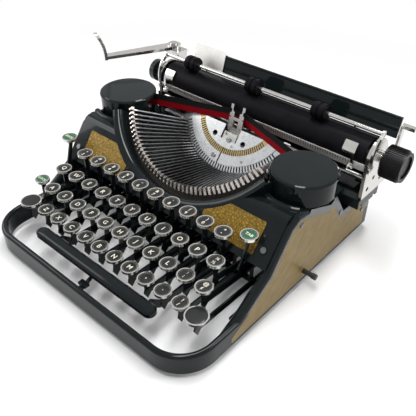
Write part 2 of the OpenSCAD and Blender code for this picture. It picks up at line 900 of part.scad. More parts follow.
module bar_stop() {
    color(enamel) {
        side_plate(-4, 3) polygon([
            [rail_t, 9], [rail_t, 14], [15, 14], [22, 16.5], [22, 14.5], [15.5, 11.5], [10, 9]
        ]);
        translate([-6, 11, 14]) cube([9, 5, 2.6]);
    }
}

module fulcrum_rod() {
    color(steel) x_rod(-inner_w, inner_w, [fulcrum_y, fulcrum_z], fulcrum_d);
}

// Upright teeth between each second pair of levers, let into the comb's bar
module comb_teeth(room) {
    for (k = [-6 : 5], x = comb_mid) if (abs(x + k * key_pitch) < 100)
        translate([x + k * key_pitch - 0.7 - room, 116.5 - room, foot_h + 1.5 - room])
            cube([1.4 + 2 * room, 4 + 2 * room, 37.5]);
}

module key_comb() {
    half = inner_w - 14;
    color(enamel) {
        difference() {
            translate([-half, 116, foot_h]) cube([2 * half, 5, 3]);
            comb_teeth(fit);
        }
        comb_teeth(0);
    }
}

module push_rod() {
    color(rubber) {
        x_rod(shift_x + 6.4, half_width + 11, push_rod_at, push_rod_d);
        x_rod(half_width + 9, half_width + 13, push_rod_at, push_rod_d + 1);
    }
}

module spring_drum() {
    color(steel) translate([drum_x, depth - wall_t, drum_z]) rotate([90, 0, 0]) difference() {
        union() {
            translate([0, 0, 0.6]) cylinder(d = drum_d, h = drum_len);
            for (z = [0.6, drum_len - 0.6]) translate([0, 0, z]) cylinder(d = drum_d + 2, h = 1.2);
        }
        translate([0, 0, -1]) cylinder(d = drum_pin_d + 2 * fit, h = drum_len + 4);
    }
}

// Carriage

module carriage_rail() {
    color(enamel) {
        translate([-inner_w, rail_y[0] - 8, 40]) cube([2 * inner_w, rail_y[1] - rail_y[0] + 12, 4]);
        for (y = rail_y) translate([-inner_w, y - rail_w / 2, 44])
            cube([2 * inner_w, rail_w, rail_crest - 44]);
    }
}

module carriage_bed() {
    len = 2 * end_out;
    color(enamel) on_carriage() {
        difference() {
            translate([-end_out, bed_y[0], bed_low]) cube([len, bed_y[1] - bed_y[0], bed_top - bed_low]);
            for (y = rail_y) translate([-end_out - 1, y - rail_w / 2 - fit, bed_low - 1])
                cube([len + 2, rail_w + 2 * fit, rail_crest - bed_low + 1 + fit]);
        }
        for (side = [-1, 1]) translate([side * (end_in - 8), 238, bed_top])
            cylinder(d = post_bed_d, h = 16);
    }
}

module margin_rack() {
    color(steel) on_carriage() {
        translate([-end_in + 4, bed_y[1], bed_low + 3]) cube([2 * end_in - 8, 4, 4]);
        for (i = [-56 : 56]) translate([i * 2 - 0.5, bed_y[1] + 1, bed_low + 7]) cube([1, 3, 1.2]);
    }
}

module margin_stop(x) {
    color(nickel) on_carriage() translate([x - 4, 0, 0]) difference() {
        translate([0, bed_y[1] + 0.4, bed_low]) cube([8, 7, 14]);
        translate([-1, bed_y[1], bed_low + 3 - gap]) cube([10, 4 + gap, 5.2 + 2 * gap]);
    }
}

module margin_stop_left() {
    margin_stop(-70);
}

module margin_stop_right() {
    margin_stop(70);
}

module end_outline() {
    translate([platen_y, platen_z]) circle(17);
    translate([214, bed_top]) square([42, platen_z - bed_top - 8]);
    translate([214, bed_top]) square([16, platen_z - bed_top]);
    polygon([[platen_y, platen_z], [platen_y + 16, platen_z + 5], [256, platen_z - 8], [230, platen_z - 8]]);
}

module carriage_ends() {
    color(nickel) on_carriage() difference() {
        union() {
            for (x = [-end_out, end_in]) side_plate(x, end_t) difference() {
                end_outline();
                translate([platen_y, platen_z]) circle(d = shaft_d + 2 * fit);
                translate([feed_y, feed_z]) circle(d = feed_pin_d + 2 * fit);
                translate(tie_at) circle(d = tie_d + 2 * fit);
                translate(stay_rod) circle(d = stay_d + 2 * fit);
                for (p = [[222, 68], [244, 70], [240, 82]]) translate(p) circle(d = 4.4);
            }
            for (side = [-1, 1]) {
                translate([side * (end_in - 7) - 7, 232, bed_top + 4]) cube([14, 12, 4]);
                pin_x = side > 0 ? end_out : -end_out - 2.2;
                x_rod(pin_x, pin_x + 2.2, bail_pivot, bail_pin_d);
            }
            side_plate(-end_out, end_t) translate([242, platen_z - 8])
                square([12, pivot_z - 3 - platen_z + 8]);
            translate([pivot_x - 7, 241, pivot_z - 3]) cube([-pivot_x + 7 - end_in, 14, 3]);
            translate([pivot_x, pivot_y, pivot_z]) cylinder(d = 6, h = 5);
            translate([pivot_x, pivot_y, pivot_z + 4.4]) cylinder(d = 9, h = 1.6);
            x_rod(end_out, table_right + gap + 2.5, release_pivot, 5);
        }
        for (side = [-1, 1]) translate([side * (end_in - 8), 238, bed_top + 3])
            cylinder(d = post_bed_d + 2 * fit, h = 6);
    }
    color(nickel) on_carriage() {
        x_rod(-end_out, end_out, tie_at, tie_d);
        x_rod(-end_out, end_out, stay_rod, stay_d);
        for (x = [-90, 88]) side_plate(x, 2) difference() {
            union() {
                translate(tie_at) circle(d = tie_d + 4);
                translate([tie_at[0] - 2, tie_at[1]]) square([5, table_low[1] + 8 - tie_at[1]]);
                translate([table_low[0] + 1, table_low[1] - 3]) square([tie_at[0] - table_low[0], 10]);
            }
            translate(tie_at) circle(d = tie_d + 2 * fit);
            table_frame() translate([-20, 0]) square([20 + table_t, 60]);
        }
    }
}

// Each paper finger turns on a pin in a lug on the front of the scale
module line_scale() {
    at = [platen_y, platen_z];
    r = platen_d / 2 + gap;
    lug_t = 1.2;
    pin_out = 0.5;
    color(steel) on_carriage() {
        side_plate(-end_in, 2 * end_in) ring_part(at, r, r + 0.6, 187, 236);
        for (x = finger_x) {
            lug_x = x < 0 ? x + finger_arm + gap : x + finger_w - finger_arm - gap - lug_t;
            pin_x = x < 0 ? x - pin_out : lug_x;
            side_plate(lug_x, lug_t) {
                ring_part(at, r + 0.6 + fit, finger_reach, 203, 210);
                translate(finger_pin) circle(1.7);
            }
            x_rod(pin_x, pin_x + finger_arm + gap + lug_t + pin_out, finger_pin, finger_pin_d);
        }
    }
}

module paper_pan() {
    color(enamel) on_carriage() side_plate(-end_in, 2 * end_in)
        ring_part([platen_y, platen_z], 17, 17.8, 290, 400);
}

// The paper table leans back from its lower edge to a rolled upper edge
module table_frame() {
    translate([table_low[0], table_low[1]]) rotate(-table_lean) children();
}

module paper_table() {
    color(enamel) on_carriage() {
        side_plate(-table_left, table_left + table_right) table_frame() {
            square([table_t, table_len - table_t]);
            translate([table_t / 2, table_len - table_t]) circle(d = table_t + 1);
        }
    }
}

module paper_guide() {
    t = 0.9;
    clear = 0.5 + gap;
    color(nickel) on_carriage() side_plate(-102, 40) table_frame() {
        translate([-clear - t, 2]) square([t, table_len + clear]);
        translate([-clear - t, table_len - table_t + 0.5 + table_t / 2 + gap])
            square([table_t + 2 * (clear + t), t]);
        translate([table_t + clear, table_len - 6]) square([t, 6]);
    }
}

module platen() {
    color(rubber) on_carriage() difference() {
        x_rod(-platen_len / 2, platen_len / 2, [platen_y, platen_z], platen_d);
        x_rod(-platen_len / 2 - 1, platen_len / 2 + 1, [platen_y, platen_z], shaft_d + 2 * fit);
    }
}

module platen_shaft() {
    color(steel) on_carriage() {
        x_rod(-end_out - 22, knob_x, [platen_y, platen_z], shaft_d);
        difference() {
            x_rod(-end_out - 21, -end_out - 15, [platen_y, platen_z], 23);
            x_rod(-end_out - 23, -end_out - 14, [platen_y, platen_z], shaft_d + 2 * fit);
        }
    }
}

module platen_knob() {
    color(rubber) on_carriage() difference() {
        union() {
            x_rod(knob_x, knob_x + knob_len, [platen_y, platen_z], knob_d - 1.2);
            x_rod(knob_x + 2, knob_x + knob_len - 2, [platen_y, platen_z], knob_d);
            x_rod(knob_x - 4, knob_x, [platen_y, platen_z], knob_d - 13);
        }
        x_rod(knob_x - 5, knob_x, [platen_y, platen_z], shaft_d + 2 * fit);
        x_rod(knob_x + knob_len - 1.5, knob_x + knob_len + 1, [platen_y, platen_z], knob_d - 8);
    }
}

module ratchet_wheel() {
    teeth = 28;
    color(steel) on_carriage() side_plate(-platen_len / 2 - 2, 2) translate([platen_y, platen_z])
    difference() {
        union() {
            circle(10.6);
            for (i = [0 : teeth - 1]) rotate(i * 360 / teeth) polygon([[10, -0.2], [12.4, 0.2], [10, 1.6]]);
        }
        circle(d = shaft_d + 2 * fit);
    }
}

module feed_roller() {
    color(rubber) on_carriage() {
        x_rod(-end_out, end_out, [feed_y, feed_z], feed_pin_d);
        for (x = [-96, -28, 40]) x_rod(x, x + 56, [feed_y, feed_z], feed_d);
    }
}

module bail() {
    arm_t = 1.6;
    color(nickel) on_carriage() {
        for (x = [-end_out - gap - arm_t, end_out + gap]) side_plate(x, arm_t) difference() {
            union() {
                ring_part(bail_centre, 20.4, 24, 112, 208);
                translate(bail_pivot) circle(4.2);
                translate(bail_rod) circle(d = bail_d + 3);
            }
            translate(bail_pivot) circle(d = bail_pin_d + 2 * fit);
            translate(bail_rod) circle(d = bail_d + 2 * fit);
        }
        x_rod(-end_out - gap - arm_t, end_out + gap + arm_t, bail_rod, bail_d);
    }
}

module bail_rollers() {
    color(rubber) on_carriage() for (x = [-88, -9.5, 64.4]) difference() {
        union() {
            x_rod(x - 7, x + 7, bail_rod, roller_d - 1.6);
            for (side = [-5.5, 1]) x_rod(x + side, x + side + 4.5, bail_rod, roller_d);
        }
        x_rod(x - 8, x + 8, bail_rod, bail_d + 2 * fit);
    }
}

// Each finger is a wide plate on the paper, on a narrow arm at its outer side
module paper_fingers() {
    at = [platen_y, platen_z];
    r = platen_d / 2 + gap + 0.6 + gap;
    color(nickel) on_carriage() for (x = finger_x) difference() {
        side_plate(x, finger_w) difference() {
            union() {
                ring_part(at, r, r + 0.9, 132, 206);
                translate(finger_pin) circle(2.2);
            }
            translate(finger_pin) circle(d = finger_pin_d + 2 * fit);
        }
        side_plate(x < 0 ? x + finger_arm : x - 1, finger_w - finger_arm + 1)
            ring_part(at, r - 1, 30, 168, 240);
    }
}

// The line-space lever: a flat arm with a finger that curls outward at its end
module line_space_lever() {
    bend = 45;
    width = 9;
    color(nickel) on_carriage() translate([pivot_x, pivot_y, pivot_z + 0.2]) difference() {
        union() {
            cylinder(d = 15, h = 4);
            rotate([0, 0, -120]) {
                rotate([0, 2.2, 0]) translate([0, 0, 0.2]) linear_extrude(3.2) polygon([
                    [0, -6.5], [12, -6.5], [lever_len - 2, -width / 2],
                    [lever_len - 2, width / 2], [12, 6.5], [0, 6.5]
                ]);
                intersection() {
                    translate([0, width / 2, 0]) rotate([90, 0, 0]) linear_extrude(width)
                        ring_part([lever_len + bend, -1], bend, bend + 3, 144, 183);
                    translate([lever_len - 10, 0, 0]) {
                        translate([0, -width / 2, -5]) cube([30, width, 26]);
                        translate([0, 0, 21]) rotate([0, 90, 0]) cylinder(d = width, h = 30);
                    }
                }
            }
        }
        translate([0, 0, -1]) cylinder(d = 6 + 2 * fit, h = 8);
    }
}

module release_lever() {
    x = table_right + gap;
    color(nickel) on_carriage() {
        side_plate(x, 2.2) difference() {
            union() {
                translate(release_pivot) circle(4.8);
                polygon([[242.5, 93.5], [249.5, 90.5], [255.5, 120], [250, 122]]);
            }
            translate(release_pivot) circle(d = 5 + 2 * fit);
        }
        translate([x, 250, 119]) cube([12, 5, 3]);
    }
}

machine() base_frame();
machine() top_shell();
machine() basket_rim();
machine() front_inlays();
machine() side_panels();
machine() feet();
machine() body_screws();
machine() segment();
machine() segment_comb();
machine() type_bars();
machine() type_bar_one();
machine() type_rest();
machine() type_guide();
machine() ribbon_vibrator();
machine() ribbon();
machine() spool_decks();
machine() spool_cups();
machine() spool_left();
machine() spool_right();
machine() spool_cover_left();
machine() spool_cover_right();
machine() carriage_rail();
machine() key_comb();
machine() fulcrum_rod();
machine() bar_stop();
machine() push_rod();
machine() spring_drum();
machine() levers_number();
machine() keys_number();
machine() levers_upper();
machine() keys_upper();
machine() levers_home();
machine() keys_home();
machine() levers_lower();
machine() keys_lower();
machine() key_one();
machine() shift_keys();
machine() shift_lock();
machine() backspace_key();
machine() tab_key();
machine() space_bar();
machine() carriage_bed();
machine() margin_rack();
machine() margin_stop_left();
machine() margin_stop_right();
machine() carriage_ends();
machine() line_scale();
machine() paper_pan();
machine() paper_table();
machine() paper_guide();
machine() platen();
machine() platen_shaft();
machine() platen_knob();
machine() ratchet_wheel();
machine() feed_roller();
machine() bail();
machine() bail_rollers();
machine() paper_fingers();
machine() line_space_lever();
machine() release_lever();
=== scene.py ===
"""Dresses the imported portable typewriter: finishes, key legends, knurls, ticks, screws, ribbon and stage."""

import math

import bmesh
import bpy
from bpy.props import FloatProperty, FloatVectorProperty, IntProperty, PointerProperty
from mathutils import Matrix, Vector


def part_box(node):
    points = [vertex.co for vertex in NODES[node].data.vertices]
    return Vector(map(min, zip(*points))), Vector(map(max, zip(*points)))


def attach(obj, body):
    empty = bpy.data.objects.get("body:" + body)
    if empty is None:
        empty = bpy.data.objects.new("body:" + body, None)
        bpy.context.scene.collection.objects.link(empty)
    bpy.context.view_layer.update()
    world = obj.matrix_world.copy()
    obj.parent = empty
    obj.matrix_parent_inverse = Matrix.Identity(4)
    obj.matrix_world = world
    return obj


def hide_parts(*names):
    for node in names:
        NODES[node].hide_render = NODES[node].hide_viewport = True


bl_info = {
    "name": "Portable Typewriter",
    "version": (1, 0, 0),
    "blender": (4, 5, 0),
    "location": "View3D > Sidebar > Typewriter",
    "description": "Dresses a packed portable typewriter with its finishes and small fittings",
    "category": "Object",
}

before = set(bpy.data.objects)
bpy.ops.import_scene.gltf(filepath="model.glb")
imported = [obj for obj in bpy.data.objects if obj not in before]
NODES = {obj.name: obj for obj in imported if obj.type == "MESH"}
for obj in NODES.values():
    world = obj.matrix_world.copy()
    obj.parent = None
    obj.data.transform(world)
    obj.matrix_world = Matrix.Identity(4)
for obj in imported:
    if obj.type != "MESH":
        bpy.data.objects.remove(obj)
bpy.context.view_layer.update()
MM = 0.001

# The machine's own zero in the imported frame: middle of the keyboard, face of the front rail, table
RAIL_LOW, RAIL_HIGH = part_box("base_frame")
ZERO = Vector(((RAIL_LOW.x + RAIL_HIGH.x) / 2, RAIL_LOW.y, 0))
BANKS = ("number", "upper", "home", "lower")
LEGENDS = {
    "number": ['"2', "#3", "$4", "%5", "_6", "&7", "'8", "(9", ")0", "*-"],
    "upper": list("QWERTYUIOP") + ["¼½"],
    "home": list("ASDFGHJKL") + [":;", "@¢"],
    "lower": list("ZXCVBNM") + [",", ".", "?/"],
}

# The key of the home bank and the bar of the basket that move by themselves
ONE_KEY, ONE_BAR = 5, 21

# The segment's centre (y, z) and tilt and the fan of bars, in mm and degrees, as in the part's source
SEGMENT = (218.0, 100.0, math.radians(52))
BAR_COUNT, BAR_FIRST, BAR_SWEEP = 42, 30.0, 120.0
BAR_PIVOT, BAR_REST, SLUG_FACE = Vector((64, 0, -1.4)), math.radians(65), 65.8
TYPE_ALONG = (0.2, 3.4)
SKIRT_TURNS = (39, 37, 35, 33, 31, 30)

# Places where one finish ends and another begins, in mm
# WALL_FACE and WALL_FOOT bound the grey painted reflection on the outer faces of the side walls.
WALL_FACE, WALL_FOOT = 126.9, 25.5
SLUG_LOW, SLUG_HIGH = 51.0, 52.0
PLATED_RIM, CUP_HEIGHT = 3.0, 3.7

# Key tops: the glass's height and the printed line's place as shares, the rest in metres
CROWN, LINE_PLACE = 0.9, 0.88
SIGN_DEPTH, SIGN_SINK, PAIR_LIFT = 0.16 * MM, 0.09 * MM, 2.5 * MM
SHIFT_TOP = 9.7 * MM

# The camera's backward and upward directions, from the fit to the photograph
CAMERA_BACK, CAMERA_UP, SENSOR = (0.52525, -0.59036, 0.61285), (-0.40954, 0.45593, 0.79020), 36.0
FLOOR_HALF, LIGHT_AIM = 6.0, (0, 130, 50)


def spot(x, y, z):
    """A point of the machine in millimetres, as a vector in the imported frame."""
    return ZERO + Vector((x, y, z)) * MM


def segment_matrix():
    """The segment's own frame, with its z out of the segment."""
    y, z, tilt = SEGMENT
    return Matrix.Translation(spot(0, y, z)) @ Matrix.Rotation(tilt, 4, "X")


class FinishSizes(bpy.types.PropertyGroup):
    """Colours of the finishes"""

    enamel: FloatVectorProperty(
        name="Enamel", description="Black enamel of the frame", subtype="COLOR", default=(0.006, 0.0088, 0.0098)
    )
    # Painted reflection: the side walls are black enamel, and this grey paints the sheen on their outer faces.
    wall_reflection: FloatVectorProperty(
        name="Wall edge", description="Grey edge round the side panels", subtype="COLOR", default=(0.15, 0.15, 0.15)
    )
    gold: FloatVectorProperty(
        name="Gold", description="Gold crackle of the front inlays", subtype="COLOR", default=(0.30, 0.180, 0.016)
    )
    grain: FloatVectorProperty(
        name="Grain", description="Light tone of the side panels", subtype="COLOR", default=(0.245, 0.165, 0.045)
    )
    nickel: FloatVectorProperty(
        name="Nickel", description="Bright nickel plate", subtype="COLOR", default=(0.74, 0.73, 0.70)
    )
    steel: FloatVectorProperty(name="Steel", description="Bare steel", subtype="COLOR", default=(0.52, 0.53, 0.54))
    brass: FloatVectorProperty(
        name="Brass", description="Brass of the comb", subtype="COLOR", default=(0.47, 0.37, 0.20)
    )
    green: FloatVectorProperty(
        name="Green", description="Green key tops", subtype="COLOR", default=(0.018, 0.092, 0.048)
    )
    legend: FloatVectorProperty(
        name="Legend", description="Cream of the letters", subtype="COLOR", default=(0.78, 0.74, 0.60)
    )
    ribbon_red: FloatVectorProperty(
        name="Ribbon red", description="Red half of the ribbon", subtype="COLOR", default=(0.31, 0.003, 0.010)
    )


class FittingSizes(bpy.types.PropertyGroup):
    """Sizes of the small fittings"""

    key_ring: FloatProperty(name="Key ring", description="Wall of a key's ring", default=1.1 * MM, unit="LENGTH")
    key_recess: FloatProperty(
        name="Key recess", description="Depth of the recess in a key top", default=0.9 * MM, unit="LENGTH"
    )
    letter_size: FloatProperty(
        name="Letter", description="Size of a single letter", default=6.2 * MM, unit="LENGTH"
    )
    pair_size: FloatProperty(
        name="Pair", description="Size of two signs on one key", default=4.6 * MM, unit="LENGTH"
    )
    word_size: FloatProperty(
        name="Word", description="Size of the words on the green keys", default=4.0 * MM, unit="LENGTH"
    )
    letter_bold: FloatProperty(
        name="Bold", description="Added to each side of a stroke", default=0.03 * MM, unit="LENGTH"
    )
    screw: FloatProperty(
        name="Screw", description="Head of a screw on the segment", default=5.0 * MM, unit="LENGTH"
    )
    key_line: FloatProperty(
        name="Key line", description="Width of the line printed round a key top", default=0.15 * MM, unit="LENGTH"
    )
    knurls: IntProperty(name="Knurls", description="Ribs round the platen knob", default=48, min=12)
    tick_pitch: FloatProperty(
        name="Tick pitch", description="Distance of two ticks on the line scale", default=2.54 * MM, unit="LENGTH"
    )


class StageSizes(bpy.types.PropertyGroup):
    """Camera, floor and light"""

    camera_place: FloatVectorProperty(
        name="Camera", description="Place of the camera, mm", default=(293.8, -162.0, 350.0)
    )
    focal: FloatProperty(
        name="Focal length", description="Focal length in widths of the picture", default=553.43 / 416
    )
    floor: FloatVectorProperty(
        name="Floor", description="Colour of the floor", subtype="COLOR", default=(0.90, 0.90, 0.90)
    )
    glow: FloatProperty(name="Glow", description="Share of white in the floor by the machine", default=0.06)
    shade_near: FloatProperty(
        name="Shade", description="Where the floor starts to turn white", default=260 * MM, unit="LENGTH"
    )
    shade_far: FloatProperty(
        name="White", description="Where the floor is all white", default=620 * MM, unit="LENGTH"
    )
    world_light: FloatProperty(name="World", description="Strength of the world's light", default=0.176)
    horizon: FloatProperty(name="Horizon", description="Strength of the world low down, as reflected", default=0.8)
    ceiling: FloatProperty(name="Ceiling", description="Strength of the world overhead, as reflected", default=0.68)
    key_power: FloatProperty(name="Overhead", description="Power of the overhead light", default=9.0, unit="POWER")
    fill_power: FloatProperty(name="Fill", description="Power of the side lights", default=3.0, unit="POWER")


class Wire:
    """A value socket that takes part in Python arithmetic."""

    def __init__(self, finish, socket):
        self.finish = finish
        self.socket = socket

    def calc(self, operation, *values, clamp=False):
        node = self.finish.add("ShaderNodeMath", {"operation": operation, "use_clamp": clamp})
        for socket, value in zip(node.inputs, values):
            self.finish.plug(socket, value)
        return Wire(self.finish, node.outputs[0])

    def __add__(self, other):
        return self.calc("ADD", self, other)

    def __radd__(self, other):
        return self.calc("ADD", other, self)

    def __sub__(self, other):
        return self.calc("SUBTRACT", self, other)

    def __rsub__(self, other):
        return self.calc("SUBTRACT", other, self)

    def __mul__(self, other):
        return self.calc("MULTIPLY", self, other)

    def __gt__(self, other):
        return self.calc("GREATER_THAN", self, other)

    def __lt__(self, other):
        return self.calc("LESS_THAN", self, other)

    def __abs__(self):
        return self.calc("ABSOLUTE", self)

    def clamp(self):
        return self.calc("ADD", self, 0.0, clamp=True)

    def root(self):
        return self.calc("SQRT", self)

    def step(self, low, high):
        """0 below low, 1 above high, straight between."""
        return self.calc("MULTIPLY", self - low, 1.0 / (high - low), clamp=True)


class Nodes:
    """A node tree that nodes are added to."""

    def plug(self, socket, value):
        """Links a socket to a value's socket, or sets it to a plain value."""
        if isinstance(value, Wire):
            value = value.socket
        if isinstance(value, bpy.types.NodeSocket):
            self.tree.links.new(value, socket)
        elif hasattr(socket.default_value, "__len__") and len(value) == 3 and len(socket.default_value) == 4:
            socket.default_value = (*value, 1.0)
        else:
            socket.default_value = value

    def add(self, kind, settings=None, sockets=None):
        """A node of a kind, with its settings first and then its sockets by name or number."""
        node = self.tree.nodes.new(kind)
        for key, value in (settings or {}).items():
            setattr(node, key, value)
        for key, value in (sockets or {}).items():
            self.plug(node.inputs[key], value)
        return node


class Finish(Nodes):
    """One procedural material, built from nodes."""

    def __init__(self, name):
        self.material = bpy.data.materials.new(name)
        self.start(self.material, "Material", "BsdfPrincipled", "Object")

    def start(self, owner, output, surface, place):
        """Clears an owner's tree and sets its output, its surface and the place that patterns read."""
        owner.use_nodes = True
        self.tree = owner.node_tree
        self.tree.nodes.clear()
        self.out = self.tree.nodes.new("ShaderNodeOutput" + output)
        self.surface = self.tree.nodes.new("ShaderNode" + surface)
        self.tree.links.new(self.surface.outputs[0], self.out.inputs["Surface"])
        self.place = self.add("ShaderNodeTexCoord").outputs[place]

    @classmethod
    def of_world(cls, world):
        """The same helper on a world's tree."""
        finish = cls.__new__(cls)
        finish.start(world, "World", "Background", "Generated")
        return finish

    def set(self, **sockets):
        """Sets the surface's sockets, with spaces written as underscores."""
        for key, value in sockets.items():
            self.plug(self.surface.inputs[key.replace("_", " ")], value)
        return self

    def wire(self, socket):
        return Wire(self, socket)

    def rays(self):
        """Whether a ray is the camera's own, and whether it was mirrored or let through."""
        light = self.add("ShaderNodeLightPath").outputs
        straight, mirrored, through = (
            self.wire(light["Is " + kind + " Ray"]) for kind in ("Camera", "Glossy", "Transmission")
        )
        return straight, mirrored + through

    def axis(self):
        """x, y and z of the place on the object, in millimetres."""
        parts = self.add("ShaderNodeSeparateXYZ", None, {0: self.place}).outputs
        return [self.wire(p) * 1000.0 for p in parts]

    def noise(self, scale, detail, vector=None, rough=0.5):
        """Soft noise from 0 to 1, on the place or on a stretched one."""
        sockets = {"Vector": vector or self.place, "Scale": scale, "Detail": detail, "Roughness": rough}
        return self.wire(self.add("ShaderNodeTexNoise", None, sockets).outputs["Fac"])

    def cracks(self, scale):
        """Distance to the edges of a pattern of cells."""
        sockets = {"Vector": self.place, "Scale": scale}
        node = self.add("ShaderNodeTexVoronoi", {"feature": "DISTANCE_TO_EDGE"}, sockets)
        return self.wire(node.outputs["Distance"])

    def stretch(self, scale, turn=(0, 0, 0)):
        """The place on the object, turned and scaled for a pattern with a direction."""
        turned = self.add("ShaderNodeMapping", None, {"Vector": self.place, "Rotation": turn})
        return self.add("ShaderNodeMapping", None, {"Vector": turned.outputs[0], "Scale": scale}).outputs[0]

    def blend(self, mask, low, high):
        """A colour that goes from low to high as the mask goes from 0 to 1."""
        node = self.add("ShaderNodeMix", {"data_type": "RGBA"}, {"Factor": mask})
        for identifier, value in (("A_Color", low), ("B_Color", high)):
            self.plug(next(s for s in node.inputs if s.identifier == identifier), value)
        return next(s for s in node.outputs if s.identifier == "Result_Color")

    def bump(self, height, distance, strength):
        """Relief on the surface, its distance in metres."""
        sockets = {"Height": height, "Distance": distance, "Strength": strength}
        return self.set(Normal=self.add("ShaderNodeBump", None, sockets).outputs[0])


def shade(colour, factor):
    """A colour made darker or lighter."""
    return tuple(min(1.0, c * factor) for c in colour)


def enamel_finish(name, colour, edge=None):
    """Gloss enamel with a faint orange peel, dull patches and, on the side walls, a grey band of painted
    reflection.
    """
    f = Finish(name)
    patch = f.noise(55, 4)
    base = f.blend(patch, shade(colour, 0.75), shade(colour, 1.4))
    if edge:
        # Painted reflection: the outer face of each side wall above the foot gets the grey colour in place of
        # black.
        x, _, z = f.axis()
        wall = (abs(x - ZERO.x * 1000) > WALL_FACE) * (z > WALL_FOOT)
        base = f.blend(wall, base, edge)
    f.set(Base_Color=base, Roughness=patch.step(0.2, 0.8) * 0.08 + 0.06, Specular_IOR_Level=0.10)
    f.set(Coat_Weight=0.2, Coat_Roughness=0.03)
    f.bump(f.noise(900, 2), 0.00004, 0.25)
    return f.material


def gold_finish(name, colour):
    """Gold lacquer with a fine dark crackle."""
    f = Finish(name)
    crackle = f.cracks(430)
    speck = f.noise(520, 5)
    line = crackle.step(0.02, 0.24)
    base = f.blend(line * speck.step(0.3, 0.62), shade(colour, 0.38), shade(colour, 1.35))
    f.set(Base_Color=base, Roughness=0.46 - line * 0.12, Metallic=0.35)
    f.bump(line + speck * 0.6, 0.00012, 0.5)
    return f.material


def grain_finish(name, colour):
    """Printed gold wood grain, with streaks that run up along the slope of the side wall."""
    f = Finish(name)
    along = f.stretch((60, 60, 900), (math.radians(-32), 0, 0))
    streak = f.noise(1.0, 6, along, 0.62)
    mottle = f.noise(130, 3)
    fine = f.noise(2.4, 4, along)
    tone = (streak * 0.8 + fine * 0.35 + mottle * 0.25 - 0.2).clamp()
    base = f.blend(tone.step(0.22, 0.78), shade(colour, 0.42), shade(colour, 1.3))
    f.set(Base_Color=base, Roughness=0.52 - tone * 0.14, Metallic=0.2)
    f.bump(streak, 0.0001, 0.3)
    return f.material


def plate_finish(name, colour, rough=0.13, scale=160):
    """Bright plating with soft clouding and hairline wear."""
    f = Finish(name)
    cloud = f.noise(scale, 4)
    hair = f.noise(1.0, 2, f.stretch((120, 2600, 2600)))
    f.set(Base_Color=f.blend(cloud, shade(colour, 0.8), shade(colour, 1.04)), Metallic=1.0)
    f.set(Roughness=cloud * 0.12 + hair * 0.08 + (rough - 0.06))
    f.bump(hair, 0.00003, 0.15)
    return f.material


def scale_finish(name, colour):
    """Satin plate, brushed along its length, that carries printed ticks."""
    f = Finish(name)
    brush = f.noise(1.0, 3, f.stretch((40, 2400, 2400)))
    f.set(Base_Color=f.blend(brush, shade(colour, 0.8), shade(colour, 1.1)), Metallic=0.35)
    f.set(Roughness=brush * 0.16 + 0.36)
    f.bump(brush, 0.00003, 0.2)
    return f.material


def rubber_finish(name, colour, rough=0.5, gloss=0.3):
    """Matt black rubber, a little grey where it is handled."""
    f = Finish(name)
    worn = f.noise(70, 4)
    f.set(Base_Color=f.blend(worn.step(0.35, 0.75), colour, shade(colour, 1.9)))
    f.set(Roughness=worn * 0.18 + (rough - 0.09), Specular_IOR_Level=gloss)
    f.bump(f.noise(2200, 2), 0.00006, 0.35)
    return f.material


def segment_place(f):
    """Distance from the segment's centre and height out of its face, in millimetres."""
    y0, z0, tilt = SEGMENT
    x, y, z = f.axis()
    across, back, up = x - ZERO.x * 1000, y - (y0 + ZERO.y * 1000), z - z0
    down = back * math.cos(tilt) + up * math.sin(tilt)
    return (across * across + down * down).root(), back * -math.sin(tilt) + up * math.cos(tilt)


def bar_finish(name, steel, slug):
    """Dark steel bars whose slugs are bright."""
    f = Finish(name)
    tip = segment_place(f)[1].step(SLUG_LOW, SLUG_HIGH)
    cloud = f.noise(300, 3)
    f.set(Base_Color=f.blend(tip, f.blend(cloud, shade(steel, 0.16), shade(steel, 0.45)), slug))
    f.set(Metallic=1.0, Roughness=cloud * 0.15 + 0.24 - tip * 0.06)
    f.bump(f.noise(1500, 2), 0.00004, 0.3)
    return f.material


def slot_finish(name, metal, face):
    """Turned metal with fine rings round the segment's centre, with painted shade in the slots below the face."""
    f = Finish(name)
    radius, height = segment_place(f)
    # Painted shade: below the face, down in the slots, the metal is coloured nearly black.
    unshaded_face = height.step(face - 0.5, face - 0.15)
    cloud = f.noise(240, 4)
    rings = f.noise(1.0, 2, f.add("ShaderNodeCombineXYZ", None, {"X": radius * 2.2}).outputs[0])
    tone = f.blend((rings * 0.7 + cloud * 0.3).step(0.25, 0.75), shade(metal, 0.72), shade(metal, 1.15))
    f.set(Base_Color=f.blend(unshaded_face, shade(metal, 0.10), tone))
    f.set(Metallic=1.0, Roughness=cloud * 0.12 + rings * 0.12 + 0.16)
    f.bump(rings, 0.00005, 0.35)
    return f.material


def side_finish(name, enamel, nickel, left, top):
    """Black enamel left of a place and below a height, bright plate elsewhere."""
    f = Finish(name)
    x, _, z = f.axis()
    painted = (x < left) * (z < top)
    cloud = f.noise(170, 4)
    plate = f.blend(cloud, shade(nickel, 0.84), shade(nickel, 1.05))
    f.set(Base_Color=f.blend(painted, plate, enamel), Metallic=1.0 - painted, Roughness=cloud * 0.14 + 0.10)
    f.bump(f.noise(900, 2), 0.00003, 0.2)
    return f.material


def stem_finish(name, top, enamel, nickel):
    """Nickel above a height in millimetres, black enamel on the lever below it."""
    f = Finish(name)
    z = f.axis()[2]
    cup = z > top
    cloud = f.noise(180, 3)
    f.set(Base_Color=f.blend(cup, enamel, f.blend(cloud, shade(nickel, 0.85), nickel)))
    f.set(Metallic=cup, Roughness=cloud * 0.1 + 0.14)
    return f.material


def glass_finish(name, colour):
    """A printed disc under clear glass."""
    f = Finish(name)
    dust = f.noise(700, 3)
    f.set(Base_Color=f.blend(dust, shade(colour, 0.8), shade(colour, 1.25)), Roughness=dust * 0.1 + 0.4)
    f.set(Specular_IOR_Level=0.2, Coat_Weight=0.35, Coat_Roughness=0.03)
    return f.material


